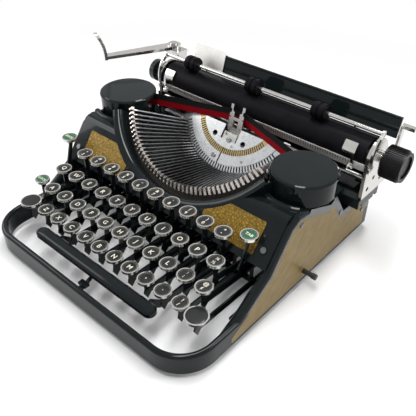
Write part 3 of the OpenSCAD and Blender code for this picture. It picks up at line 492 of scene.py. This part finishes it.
def cloth_finish(name, red, split):
    """Woven ribbon, black above a height in millimetres and red below it."""
    f = Finish(name)
    z = f.axis()[2]
    weave = f.noise(1.0, 2, f.stretch((1800, 1800, 4200)))
    bleed = z + weave * 0.5
    base = f.blend(bleed.step(split, split + 0.5), red, (0.012, 0.012, 0.013))
    f.set(Base_Color=base, Roughness=weave * 0.15 + 0.62, Specular_IOR_Level=0.12)
    f.bump(weave, 0.00005, 0.5)
    return f.material


def put(name, data):
    """A new object in the scene."""
    obj = bpy.data.objects.new(name, data)
    bpy.context.scene.collection.objects.link(obj)
    return obj


def settle(bm, name):
    """The mesh of a bmesh, which is freed."""
    mesh = bpy.data.meshes.new(name)
    bm.to_mesh(mesh)
    bm.free()
    return mesh


def keep_piece(name, mesh, body):
    """An object of a finished mesh, at the origin, that rides on a body."""
    obj = put(name, mesh)
    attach(obj, body)
    return obj


def mesh_piece(name, verts, faces, material, body):
    """The same from vertices and faces, with one finish."""
    mesh = bpy.data.meshes.new(name)
    mesh.from_pydata([tuple(v) for v in verts], [], faces)
    mesh.materials.append(material)
    return keep_piece(name, mesh, body)


def dress(material, *names):
    """Gives CAD nodes a material."""
    for name in names:
        data = NODES[name].data
        if not data.materials:
            data.materials.append(material)
        for slot in NODES[name].material_slots:
            slot.material = material


class Grove(Nodes):
    """A Geometry Nodes tree with named inputs, run once on a template mesh."""

    def __init__(self, name, inputs):
        self.tree = bpy.data.node_groups.new(name, "GeometryNodeTree")
        face = self.tree.interface
        face.new_socket("Geometry", in_out="INPUT", socket_type="NodeSocketGeometry")
        self.names = {}
        for label, kind in {**inputs, "Finish": "NodeSocketMaterial"}.items():
            self.names[label] = face.new_socket(label, in_out="INPUT", socket_type=kind).identifier
        face.new_socket("Geometry", in_out="OUTPUT", socket_type="NodeSocketGeometry")
        self.start = self.tree.nodes.new("NodeGroupInput")
        self.end = self.tree.nodes.new("NodeGroupOutput")

    def given(self, label):
        return self.start.outputs[label]

    def line(self, start, offset):
        """Points in a line, as many as the given count."""
        sockets = {"Count": self.given("Count"), "Start Location": start, "Offset": offset}
        return self.add("GeometryNodeMeshLine", {"mode": "OFFSET"}, sockets).outputs[0]

    def close(self, points, instance, **turn):
        """Ends the tree: an instance on each point, made real, with the finish set."""
        sockets = {"Points": points, "Instance": instance, **turn}
        placed = self.add("GeometryNodeInstanceOnPoints", None, sockets)
        real = self.add("GeometryNodeRealizeInstances", None, {0: placed.outputs[0]})
        set_finish = self.add(
            "GeometryNodeSetMaterial", None, {"Geometry": real.outputs[0], "Material": self.given("Finish")}
        )
        self.tree.links.new(set_finish.outputs[0], self.end.inputs[0])
        return self

    def run(self, name, template, body, **values):
        """The tree's result as a plain mesh piece that rides on a body."""
        holder = put(name + "_seed", template)
        modifier = holder.modifiers.new(name, "NODES")
        modifier.node_group = self.tree
        for label, value in values.items():
            modifier[self.names[label]] = value
        holder.update_tag()
        graph = bpy.context.evaluated_depsgraph_get()
        mesh = bpy.data.meshes.new_from_object(holder.evaluated_get(graph))
        mesh.name = name
        holder.modifiers.clear()
        bpy.data.objects.remove(holder)
        return keep_piece(name, mesh, body)


def row_tree():
    """Copies of a template along a straight row."""
    inputs = {"Count": "NodeSocketInt", "Start": "NodeSocketVector", "Step": "NodeSocketVector"}
    grove = Grove("Row of fittings", inputs)
    line = grove.line(grove.given("Start"), grove.given("Step"))
    return grove.close(line, grove.given("Geometry"))


def ring_tree():
    """Copies of a template turned round an axis along x."""
    grove = Grove("Ring of fittings", {"Count": "NodeSocketInt", "Centre": "NodeSocketVector"})
    line = grove.line(grove.given("Centre"), (0, 0, 0))
    index = grove.add("GeometryNodeInputIndex")
    share = grove.add("ShaderNodeMath", {"operation": "DIVIDE"}, {0: index.outputs[0], 1: grove.given("Count")})
    angle = grove.add("ShaderNodeMath", {"operation": "MULTIPLY"}, {0: share.outputs[0], 1: 2 * math.pi})
    turn = grove.add("ShaderNodeCombineXYZ", None, {"X": angle.outputs[0]})
    return grove.close(line, grove.given("Geometry"), Rotation=turn.outputs[0])


def point_tree():
    """Copies of a template on the points of a mesh, each turned to the point's own aim."""
    grove = Grove("Fittings on points", {"Template": "NodeSocketObject"})
    shape = grove.add("GeometryNodeObjectInfo", None, {"Object": grove.given("Template")})
    turn = grove.add("GeometryNodeInputNamedAttribute", {"data_type": "FLOAT_VECTOR"}, {"Name": "turn"})
    return grove.close(grove.given("Geometry"), shape.outputs["Geometry"], Rotation=turn.outputs[0])


def run_on_points(grove, name, places, template, body, finish):
    """Runs a point tree on a list of matrices."""
    mesh = bpy.data.meshes.new(name + "_points")
    mesh.from_pydata([tuple(m.to_translation()) for m in places], [], [])
    turn = mesh.attributes.new("turn", "FLOAT_VECTOR", "POINT")
    for item, m in zip(turn.data, places):
        item.vector = m.to_euler("XYZ")
    shape = put(name + "_template", template)
    piece = grove.run(name, mesh, body, Template=shape, Finish=finish)
    bpy.data.objects.remove(shape)
    return piece


def box_mesh(size, centre, bevel=0.0):
    """A block, with its edges eased if asked."""
    bm = bmesh.new()
    bmesh.ops.create_cube(bm, size=1.0)
    place = Matrix.Translation(Vector(centre)) @ Matrix.Diagonal((*size, 1))
    bmesh.ops.transform(bm, matrix=place, verts=bm.verts)
    if bevel:
        bmesh.ops.bevel(bm, geom=bm.edges[:], offset=bevel, segments=2, affect="EDGES")
    return settle(bm, "block")


def turned_mesh(profile, sides):
    """A closed solid turned round z from a profile of radius and height."""
    bm = bmesh.new()
    turns = [2 * math.pi * i / sides for i in range(sides)]
    rings = []
    for radius, height in profile:
        rings.append([bm.verts.new((radius * math.cos(a), radius * math.sin(a), height)) for a in turns])
    for low, high in zip(rings, rings[1:]):
        for i in range(sides):
            j = (i + 1) % sides
            bm.faces.new((low[i], low[j], high[j], high[i]))
    bm.faces.new(list(reversed(rings[0])))
    bm.faces.new(rings[-1])
    bmesh.ops.recalc_face_normals(bm, faces=bm.faces)
    mesh = settle(bm, "turned")
    for polygon in mesh.polygons:
        polygon.use_smooth = len(polygon.vertices) == 4
    return mesh


def ring_mesh(inner, outer, low, high, sides=36):
    """A flat ring round z."""
    verts, faces = [], []
    for i in range(sides):
        a, j = 2 * math.pi * i / sides, (i + 1) % sides
        for radius, height in ((outer, low), (outer, high), (inner, high), (inner, low)):
            verts.append((radius * math.cos(a), radius * math.sin(a), height))
        for k in range(4):
            m = (k + 1) % 4
            faces.append((4 * i + k, 4 * j + k, 4 * j + m, 4 * i + m))
    mesh = bpy.data.meshes.new("ring")
    mesh.from_pydata(verts, [], faces)
    return mesh


def join(meshes):
    """One mesh from several."""
    bm = bmesh.new()
    for mesh in meshes:
        bm.from_mesh(mesh)
    return settle(bm, "joined")


def slotted_head(diameter):
    """A screw head with a slot across it: a low disc and two half rounds."""
    radius, low, high, half = diameter / 2, diameter * 0.1, diameter * 0.24, diameter * 0.09
    parts = [turned_mesh([(radius, -0.3 * MM), (radius, low)], 28)]
    for side in (-1, 1):
        edge = math.asin(half / radius)
        arc = [edge + (math.pi - 2 * edge) * i / 12 for i in range(13)]
        rim = [(radius * math.cos(a), side * radius * math.sin(a)) for a in arc]
        bm = bmesh.new()
        bottom = [bm.verts.new((x, y, low)) for x, y in rim]
        top = [bm.verts.new((x * 0.93, y * 0.96 + side * half * 0.04, high)) for x, y in rim]
        for i in range(13):
            j = (i + 1) % 13
            bm.faces.new((bottom[i], bottom[j], top[j], top[i]))
        bm.faces.new(bottom)
        bm.faces.new(top)
        bmesh.ops.recalc_face_normals(bm, faces=bm.faces)
        parts.append(settle(bm, "half_round"))
    return join(parts)


def sign_mesh(text, size, bold):
    """One sign or word as a thin solid, centred on its own box."""
    curve = bpy.data.curves.new("sign", "FONT")
    curve.body = text
    curve.size = size
    curve.extrude = SIGN_DEPTH / 2
    curve.offset = bold
    curve.resolution_u = 3
    curve.align_x = "CENTER"
    obj = put("sign", curve)
    graph = bpy.context.evaluated_depsgraph_get()
    mesh = bpy.data.meshes.new_from_object(obj.evaluated_get(graph))
    bpy.data.objects.remove(obj)
    corners = [v.co for v in mesh.vertices]
    low = Vector([min(c[i] for c in corners) for i in range(3)])
    high = Vector([max(c[i] for c in corners) for i in range(3)])
    mesh.transform(Matrix.Translation(-(low + high) / 2))
    return mesh


def key_places(bank):
    """Centres of a bank's key tops, from left to right, with the height of the ring's top."""
    low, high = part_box("keys_" + bank)
    count = len(LEGENDS[bank])
    radius = (high.y - low.y) / 2
    step = (high.x - low.x - 2 * radius) / (count - 1)
    return [Vector((low.x + radius + i * step, low.y + radius, high.z)) for i in range(count)], radius


class TYPEWRITER_OT_frame(bpy.types.Operator):
    """Finishes of the frame, the shell and the panels"""

    bl_idname = "typewriter.frame"
    bl_label = "Frame and panels"

    def execute(self, context):
        c = context.scene.typewriter_finish
        black = enamel_finish("black_enamel", c.enamel)
        # The side walls' black enamel, with a grey band of painted reflection on their outer faces.
        dress(enamel_finish("wall_enamel_painted_reflection", c.enamel, tuple(c.wall_reflection)), "base_frame")
        dress(black, "top_shell", "basket_rim", "spool_decks", "carriage_rail", "key_comb", "bar_stop")
        dress(black, "spool_cover_left", "spool_cover_right", "spool_cups", "paper_table", "paper_pan")
        dress(black, "carriage_bed")
        dress(gold_finish("gold_crackle", c.gold), "front_inlays")
        dress(grain_finish("gold_grain", c.grain), "side_panels")
        dress(rubber_finish("foot_rubber", (0.02, 0.02, 0.02)), "feet", "push_rod")
        return {"FINISHED"}


class TYPEWRITER_OT_skirts(bpy.types.Operator):
    """Low walls between the ends of the basket's rim and the shelf"""

    bl_idname = "typewriter.skirts"
    bl_label = "Rim skirts"

    def execute(self, context):
        c = context.scene.typewriter_finish
        wall = enamel_finish("skirt_enamel", c.enamel)
        frame = segment_matrix()
        shelf, flange, outer, inner, last = 85.9 * MM, 63.7 * MM, 105.4 * MM, 104.0 * MM, 5.2 * MM
        for side, hand in ((-1, "left"), (1, "right")):
            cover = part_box("spool_cover_" + hand)
            hub = (cover[0] + cover[1]) / 2
            pairs = []
            for turn in SKIRT_TURNS:
                aim = Vector((side * math.cos(math.radians(turn)), -math.sin(math.radians(turn)), 0))
                pair = [frame @ (aim * r + Vector((0, 0, flange))) for r in (outer, inner)]
                pairs.append((pair[0].xy, pair[1].xy, pair[0].z))
            ahead = (hub.xy - pairs[-1][0]).normalized() * last
            pairs.append((pairs[-1][0] + ahead, pairs[-1][1] + ahead, pairs[-1][2]))
            verts, faces = [], []
            for out, back, top in pairs:
                verts += [(*out, shelf), (*out, top), (*back, top), (*back, shelf)]
            for i in range(0, len(verts) - 4, 4):
                for a in range(4):
                    b = (a + 1) % 4
                    faces.append((i + a, i + b, i + 4 + b, i + 4 + a))
            end = len(verts) - 4
            faces += [(3, 2, 1, 0), (end, end + 1, end + 2, end + 3)]
            if side > 0:
                faces = [tuple(reversed(face)) for face in faces]
            mesh_piece("skirt_" + hand, verts, faces, wall, "frame")
        return {"FINISHED"}


class TYPEWRITER_OT_metal(bpy.types.Operator):
    """Finishes of the plated and bare metal pieces"""

    bl_idname = "typewriter.metal"
    bl_label = "Metal pieces"

    def execute(self, context):
        c = context.scene.typewriter_finish
        nickel = plate_finish("nickel_plate", c.nickel)
        steel = plate_finish("bright_steel", c.steel, 0.24, 220)
        dress(plate_finish("body_screw_steel", shade(c.steel, 0.4), 0.3, 300), "body_screws")
        dress(plate_finish("guide_nickel", shade(c.nickel, 0.72), 0.2, 260), "type_guide", "ribbon_vibrator")
        dress(plate_finish("guide_chrome", shade(c.nickel, 1.25), 0.42, 90), "paper_guide")
        dress(scale_finish("scale_plate", c.nickel), "line_scale")
        dress(nickel, "bail", "paper_fingers", "line_space_lever", "release_lever")
        dress(nickel, "margin_stop_left", "margin_stop_right")
        low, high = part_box("platen")
        left = low.x / MM
        top = high.z / MM - PLATED_RIM
        ends = side_finish("end_plate", tuple(c.enamel), shade(c.nickel, 0.82), left, top)
        dress(ends, "carriage_ends", "platen_shaft")
        # The segment and its brass comb both take painted shade in the slots below their faces.
        dress(slot_finish("segment_steel", shade(c.steel, 1.15), 0.0), "segment")
        dress(steel, "fulcrum_rod", "margin_rack", "ratchet_wheel", "spool_left", "spool_right", "spring_drum")
        dress(slot_finish("comb_brass", c.brass, 0.5), "segment_comb")
        bars = bar_finish("type_bar_steel", c.steel, (0.60, 0.56, 0.53))
        dress(bars, "type_bars", "type_bar_one")
        dress(rubber_finish("rest_leather", (0.014, 0.011, 0.009), 0.75), "type_rest")
        return {"FINISHED"}


class TYPEWRITER_OT_rubber(bpy.types.Operator):
    """Finishes of the platen and the rollers, with ribs round the knob"""

    bl_idname = "typewriter.rubber"
    bl_label = "Platen and rollers"

    def execute(self, context):
        sizes = context.scene.typewriter_fittings
        platen = rubber_finish("platen_rubber", (0.0035, 0.0035, 0.0045), 0.42, 0.06)
        knob = rubber_finish("knob_black", (0.004, 0.004, 0.005), 0.36, 0.2)
        dress(platen, "platen", "feed_roller", "bail_rollers")
        dress(knob, "platen_knob")
        low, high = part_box("platen_knob")
        radius = (high.z - low.z) / 2
        rib = box_mesh((high.x - low.x - 5 * MM, 0.95 * MM, 1.4 * MM), (0, 0, radius - 0.1 * MM), 0.25 * MM)
        middle = (low + high) / 2
        ring_tree().run("knob_ribs", rib, "roller", Count=sizes.knurls, Centre=middle, Finish=knob)
        return {"FINISHED"}


class TYPEWRITER_OT_keys(bpy.types.Operator):
    """Levers, rings, printed discs and letters of all keys"""

    bl_idname = "typewriter.keys"
    bl_label = "Keys and legends"

    def execute(self, context):
        c = context.scene.typewriter_finish
        sizes = context.scene.typewriter_fittings
        lever = enamel_finish("lever_enamel", shade(c.enamel, 0.9))
        nickel = plate_finish("ring_nickel", shade(c.nickel, 0.95), 0.18, 240)
        disc_black = glass_finish("legend_black", (0.007, 0.008, 0.009))
        letter = glass_finish("legend_cream", c.legend)
        edge = glass_finish("legend_line", shade(c.legend, 0.35))
        dress(lever, *("levers_" + b for b in BANKS), "space_bar")
        dress(nickel, *("keys_" + b for b in BANKS))
        row = row_tree()
        for bank in BANKS:
            body = bank + "_bank"
            places, radius = key_places(bank)
            one = ONE_KEY if bank == "home" else None
            start = [p - Vector((0, 0, sizes.key_recess)) for p in places]
            step = places[1] - places[0]
            runs = [(bank, body, 0, len(places))]
            if one is not None:
                rest = len(places) - one - 1
                runs = [(bank + "_left", body, 0, one), (bank + "_right", body, one + 1, rest)]
                runs.append(("one", "one_key", one, 1))
                self.letters("letter_one", [(places[one], LEGENDS[bank][one])], sizes, letter, "one_key")
                self.single("key_one", places[one].z, c)
            for tag, carrier, first, count in runs:
                self.tops(row, tag, radius, carrier, count, start[first], step, (disc_black, edge), sizes)
            pairs = [(p, t) for i, (p, t) in enumerate(zip(places, LEGENDS[bank])) if i != one]
            self.letters("letters_" + bank, pairs, sizes, letter, body)
        self.lone_keys(c, sizes, row, disc_black, letter, edge)
        return {"FINISHED"}

    def tops(self, row, tag, radius, body, count, start, step, finishes, sizes):
        """Printed discs of one row of keys, with a line printed round each."""
        inside = radius - sizes.key_ring
        crown = sizes.key_recess * CROWN
        edge = inside * LINE_PLACE
        line = ring_mesh(edge - sizes.key_line, edge, crown * 0.6, crown * 0.76)
        shapes = (("discs_", self.disc(inside, sizes)), ("lines_", line))
        for (name, shape), finish in zip(shapes, finishes):
            if finish:
                row.run(name + tag, shape, body, Count=count, Start=start, Step=step, Finish=finish)

    def disc(self, radius, sizes):
        """A printed disc with a low glass crown, standing on the floor of a key's recess."""
        crown = sizes.key_recess * CROWN
        profile = [(radius, 0.0), (radius, crown * 0.45)]
        profile += [(radius * math.cos(a), crown * (0.45 + 0.55 * math.sin(a))) for a in (0.5, 0.9, 1.2, 1.4)]
        return turned_mesh(profile, 36)

    def letters(self, name, pairs, sizes, finish, body):
        """Signs on the crowns of one body's keys: one large, or two small ones over each other."""
        meshes = []
        for place, text in pairs:
            single = len(text) == 1
            for i, sign in enumerate(text):
                size = sizes.letter_size if single else sizes.pair_size
                mesh = sign_mesh(sign, size, sizes.letter_bold)
                lift = 0 if single else PAIR_LIFT * (1 - 2 * i)
                mesh.transform(Matrix.Translation(place + Vector((0, lift, -SIGN_SINK))))
                meshes.append(mesh)
        whole = join(meshes)
        whole.materials.append(finish)
        return keep_piece(name, whole, body)

    def single(self, node, top, c):
        """Finish of a node that holds one key and its lever."""
        dress(stem_finish("stem_" + node, top * 1000 - CUP_HEIGHT, tuple(c.enamel), tuple(c.nickel)), node)

    def lone_keys(self, c, sizes, row, disc_black, letter, edge):
        """Shift keys, shift lock, backspace and tabulator."""
        green = glass_finish("legend_green", c.green)
        for node, body, finish, word in (
            ("shift_keys", "shift", disc_black, None),
            ("shift_lock", "lock", green, "LOCK"),
            ("backspace_key", "backspace", green, "BACK"),
            ("tab_key", "tabulator", green, "TAB"),
        ):
            low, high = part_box(node)
            self.single(node, high.z, c)
            radius = SHIFT_TOP if node == "shift_keys" else (high.x - low.x) / 2
            first = Vector((low.x + radius, low.y + radius, high.z - sizes.key_recess))
            if node in ("backspace_key", "tab_key"):
                first.y = self.cup_y(node, high.z)
            count = 2 if node == "shift_keys" else 1
            step = Vector((high.x - low.x - 2 * radius, 0, 0))
            self.tops(row, node, radius, body, count, first, step, (finish, edge if word else None), sizes)
            if word:
                mesh = sign_mesh(word, sizes.word_size, sizes.letter_bold)
                mesh.transform(Matrix.Translation((first.x, first.y, high.z - SIGN_SINK)))
                mesh.materials.append(letter)
                keep_piece("word_" + node, mesh, body)

    def cup_y(self, node, top):
        """The middle of a key's ring, from the vertices of its top."""
        ys = [v.co.y for v in NODES[node].data.vertices if v.co.z > top - 0.1 * MM]
        return (min(ys) + max(ys)) / 2


class TYPEWRITER_OT_type(bpy.types.Operator):
    """Raised type on the slugs of the type bars"""

    bl_idname = "typewriter.type"
    bl_label = "Type faces"

    def execute(self, context):
        finish = plate_finish("type_face", (0.70, 0.66, 0.62), 0.2, 400)
        grove = point_tree()
        places, lone = [], []
        frame = segment_matrix()
        for i in range(BAR_COUNT):
            phi = -math.radians(BAR_FIRST + i * BAR_SWEEP / (BAR_COUNT - 1))
            turned = frame @ Matrix.Rotation(phi, 4, "Z")
            bar = turned @ Matrix.Translation(BAR_PIVOT * MM) @ Matrix.Rotation(-BAR_REST, 4, "Y")
            chosen = lone if i == ONE_BAR else places
            chosen += [bar @ Matrix.Translation(Vector((SLUG_FACE, 0, along)) * MM) for along in TYPE_ALONG]
        face = box_mesh((0.7 * MM, 1.6 * MM, 1.7 * MM), (0.1 * MM, 0, 0), 0.25 * MM)
        run_on_points(grove, "type_faces", places, face, "frame", finish)
        run_on_points(grove, "type_face_one", lone, face.copy(), "one_type_bar", finish)
        return {"FINISHED"}


class TYPEWRITER_OT_screws(bpy.types.Operator):
    """Slotted screws and pins on the face of the segment"""

    bl_idname = "typewriter.screws"
    bl_label = "Segment screws"

    def execute(self, context):
        c = context.scene.typewriter_finish
        sizes = context.scene.typewriter_fittings
        finish = plate_finish("screw_steel", shade(c.steel, 0.7), 0.22, 500)
        frame = segment_matrix()
        grove = point_tree()
        screws = ((0.6, -33.4, 0.6, 40), (-8.3, -52.3, 0.8, 70))
        pins = ((24.0, -47.5, 0.8, 15), (-5.9, -28.3, 0.6, 0), (6.8, -38.0, 0.6, 120))
        for name, places, diameter in (
            ("segment_screws", screws, sizes.screw),
            ("segment_pins", pins, sizes.screw * 0.5),
        ):
            points = [
                frame @ Matrix.Translation(Vector((x, y, h)) * MM) @ Matrix.Rotation(math.radians(a), 4, "Z")
                for x, y, h, a in places
            ]
            run_on_points(grove, name, points, slotted_head(diameter), "frame", finish)
        return {"FINISHED"}


class TYPEWRITER_OT_scale(bpy.types.Operator):
    """Ticks along the upper edge of the line scale"""

    bl_idname = "typewriter.scale"
    bl_label = "Line scale"

    def execute(self, context):
        sizes = context.scene.typewriter_fittings
        low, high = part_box("line_scale")
        ink = rubber_finish("scale_ink", (0.02, 0.02, 0.02))
        count = int((high.x - low.x - 16 * MM) / sizes.tick_pitch)
        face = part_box("platen")[0].y - 0.78 * MM
        start = Vector(((low.x + high.x) / 2 - (count - 1) / 2 * sizes.tick_pitch, face, high.z - 2.2 * MM))
        tick = box_mesh((0.4 * MM, 0.5 * MM, 3.0 * MM), (0, 0.15 * MM, 0))
        step = (sizes.tick_pitch, 0, 0)
        row_tree().run("scale_ticks", tick, "carriage", Count=count, Start=start, Step=step, Finish=ink)
        return {"FINISHED"}


class TYPEWRITER_OT_ribbon(bpy.types.Operator):
    """The two-coloured ribbon between the spools"""

    bl_idname = "typewriter.ribbon"
    bl_label = "Ribbon"

    def execute(self, context):
        c = context.scene.typewriter_finish
        low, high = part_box("ribbon")
        corners = sorted({(round(v.co.x, 6), round(v.co.y, 6)) for v in NODES["ribbon"].data.vertices})
        ends = [p for p in corners if abs(p[0] - ZERO.x) > 0.05]
        bends = [p for p in corners if abs(p[0] - ZERO.x) < 0.02]
        thick = max(y for _, y in bends) - min(y for _, y in bends)

        def middle(points):
            return Vector((sum(p[0] for p in points) / len(points), sum(p[1] for p in points) / len(points)))

        path = [
            middle([p for p in ends if p[0] < ZERO.x]),
            middle([p for p in bends if p[0] < ZERO.x]),
            middle([p for p in bends if p[0] > ZERO.x]),
            middle([p for p in ends if p[0] > ZERO.x]),
        ]
        line = []
        for a, b in zip(path, path[1:]):
            steps = max(2, int((b - a).length / (3 * MM)))
            line += [a + (b - a) * (i / steps) for i in range(steps)]
        line.append(path[-1])
        length = sum((b - a).length for a, b in zip(line, line[1:]))
        rows = 6
        verts, faces = [], []
        for side in (-1, 1):
            for p in line:
                for r in range(rows + 1):
                    verts.append((p.x, p.y + side * thick * 0.4, low.z + (high.z - low.z) * r / rows))
        columns, tall, last = len(line), rows + 1, len(line) - 1

        def at(side, column, r):
            return side * columns * tall + column * tall + r

        for i in range(last):
            for r in range(rows):
                faces.append((at(0, i, r), at(0, i + 1, r), at(0, i + 1, r + 1), at(0, i, r + 1)))
                faces.append((at(1, i, r + 1), at(1, i + 1, r + 1), at(1, i + 1, r), at(1, i, r)))
            faces.append((at(1, i, 0), at(1, i + 1, 0), at(0, i + 1, 0), at(0, i, 0)))
            faces.append((at(0, i, rows), at(0, i + 1, rows), at(1, i + 1, rows), at(1, i, rows)))
        for r in range(rows):
            faces.append((at(0, 0, r), at(0, 0, r + 1), at(1, 0, r + 1), at(1, 0, r)))
            faces.append((at(1, last, r), at(1, last, r + 1), at(0, last, r + 1), at(0, last, r)))
        split = (low.z + high.z) / 2 / MM
        cloth = cloth_finish("ribbon_cloth", tuple(c.ribbon_red), split)
        piece = mesh_piece("ribbon_band", verts, faces, cloth, "frame")
        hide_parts("ribbon")
        return {"FINISHED"}


class TYPEWRITER_OT_stage(bpy.types.Operator):
    """Floor, lights and camera"""

    bl_idname = "typewriter.stage"
    bl_label = "Stage"

    def execute(self, context):
        s = context.scene.typewriter_stage
        scene = context.scene
        scene.view_settings.view_transform = "Standard"
        self.floor(s)
        self.world(scene, s)
        self.lights(s)
        camera = bpy.data.cameras.new("camera")
        camera.sensor_width = SENSOR
        camera.lens = s.focal * SENSOR
        obj = put("camera", camera)
        obj.location = spot(*s.camera_place)
        back = Vector(CAMERA_BACK).normalized()
        side = Vector(CAMERA_UP).cross(back).normalized()
        obj.rotation_mode = "QUATERNION"
        obj.rotation_quaternion = Matrix((side, back.cross(side), back)).transposed().to_quaternion()
        camera.clip_start, camera.clip_end = 0.01, 20.0
        scene.camera = obj
        return {"FINISHED"}

    def floor(self, s):
        """A floor with soft shadows by the machine, all white farther out."""
        f = Finish("floor_white")
        straight, mirrored = f.rays()
        f.set(Base_Color=tuple(s.floor), Roughness=0.9, Specular_IOR_Level=0.0)
        glow = f.add("ShaderNodeEmission", None, {"Color": (1, 1, 1), "Strength": 1.0})
        x, y, _ = f.axis()
        far = (x * x + y * y).root().step(s.shade_near / MM, s.shade_far / MM)
        share = (straight + mirrored).clamp() * (s.glow + far * (1.0 - s.glow))
        mix = f.add("ShaderNodeMixShader", None, {0: share, 1: f.surface.outputs[0], 2: glow.outputs[0]})
        f.tree.links.new(mix.outputs[0], f.out.inputs["Surface"])
        corners = [(x * FLOOR_HALF, y * FLOOR_HALF, 0) for x, y in ((-1, -1), (1, -1), (1, 1), (-1, 1))]
        mesh = bpy.data.meshes.new("floor")
        mesh.from_pydata(corners, [], [(0, 1, 2, 3)])
        mesh.materials.append(f.material)
        put("floor", mesh)

    def world(self, scene, s):
        """A white surround that is seen and mirrored more brightly than it lights."""
        world = bpy.data.worlds.new("studio")
        f = Finish.of_world(world)
        straight, mirrored = f.rays()
        up = f.wire(f.add("ShaderNodeSeparateXYZ", None, {0: f.place}).outputs[2])
        backdrop = s.horizon - up.step(0.08, 0.5) * (s.horizon - s.ceiling)
        level = straight * (1.0 - s.world_light) + mirrored.clamp() * (backdrop - s.world_light) + s.world_light
        f.set(Color=(1.0, 1.0, 1.0), Strength=level)
        scene.world = world

    def lights(self, s):
        """Three soft lights, aimed at the machine."""
        for name, place, size, power in (
            ("overhead", (60, 150, 900), (0.9, 0.2), s.key_power),
            ("left", (-700, -100, 500), (0.5, 0.5), s.fill_power),
            ("right", (650, 500, 600), (0.2, 0.7), s.fill_power),
        ):
            lamp = bpy.data.lights.new(name, "AREA")
            lamp.shape = "RECTANGLE"
            lamp.size, lamp.size_y = size
            lamp.energy = power
            obj = put(name, lamp)
            obj.location = spot(*place)
            aim = spot(*LIGHT_AIM) - obj.location
            obj.rotation_mode = "QUATERNION"
            obj.rotation_quaternion = aim.to_track_quat("-Z", "Y")


OPERATORS = (
    TYPEWRITER_OT_frame,
    TYPEWRITER_OT_skirts,
    TYPEWRITER_OT_metal,
    TYPEWRITER_OT_rubber,
    TYPEWRITER_OT_keys,
    TYPEWRITER_OT_type,
    TYPEWRITER_OT_screws,
    TYPEWRITER_OT_scale,
    TYPEWRITER_OT_ribbon,
    TYPEWRITER_OT_stage,
)


class TYPEWRITER_PT_panel(bpy.types.Panel):
    """Sizes, colours and makers of the typewriter's pieces"""

    bl_idname = "TYPEWRITER_PT_panel"
    bl_label = "Typewriter"
    bl_space_type = "VIEW_3D"
    bl_region_type = "UI"
    bl_category = "Typewriter"

    def draw(self, context):
        scene = context.scene
        for group in (scene.typewriter_finish, scene.typewriter_fittings, scene.typewriter_stage):
            for name in group.__annotations__:
                self.layout.prop(group, name)
        for operator in OPERATORS:
            self.layout.operator(operator.bl_idname)


CLASSES = (FinishSizes, FittingSizes, StageSizes, *OPERATORS, TYPEWRITER_PT_panel)


def register():
    for cls in CLASSES:
        bpy.utils.register_class(cls)
    bpy.types.Scene.typewriter_finish = PointerProperty(type=FinishSizes)
    bpy.types.Scene.typewriter_fittings = PointerProperty(type=FittingSizes)
    bpy.types.Scene.typewriter_stage = PointerProperty(type=StageSizes)


def unregister():
    del bpy.types.Scene.typewriter_stage
    del bpy.types.Scene.typewriter_fittings
    del bpy.types.Scene.typewriter_finish
    for cls in reversed(CLASSES):
        bpy.utils.unregister_class(cls)


def main():
    register()
    bpy.ops.typewriter.frame()
    bpy.ops.typewriter.skirts()
    bpy.ops.typewriter.metal()
    bpy.ops.typewriter.rubber()
    bpy.ops.typewriter.keys()
    bpy.ops.typewriter.type()
    bpy.ops.typewriter.screws()
    bpy.ops.typewriter.scale()
    bpy.ops.typewriter.ribbon()
    bpy.ops.typewriter.stage()


if __name__ == "__main__":
    main()
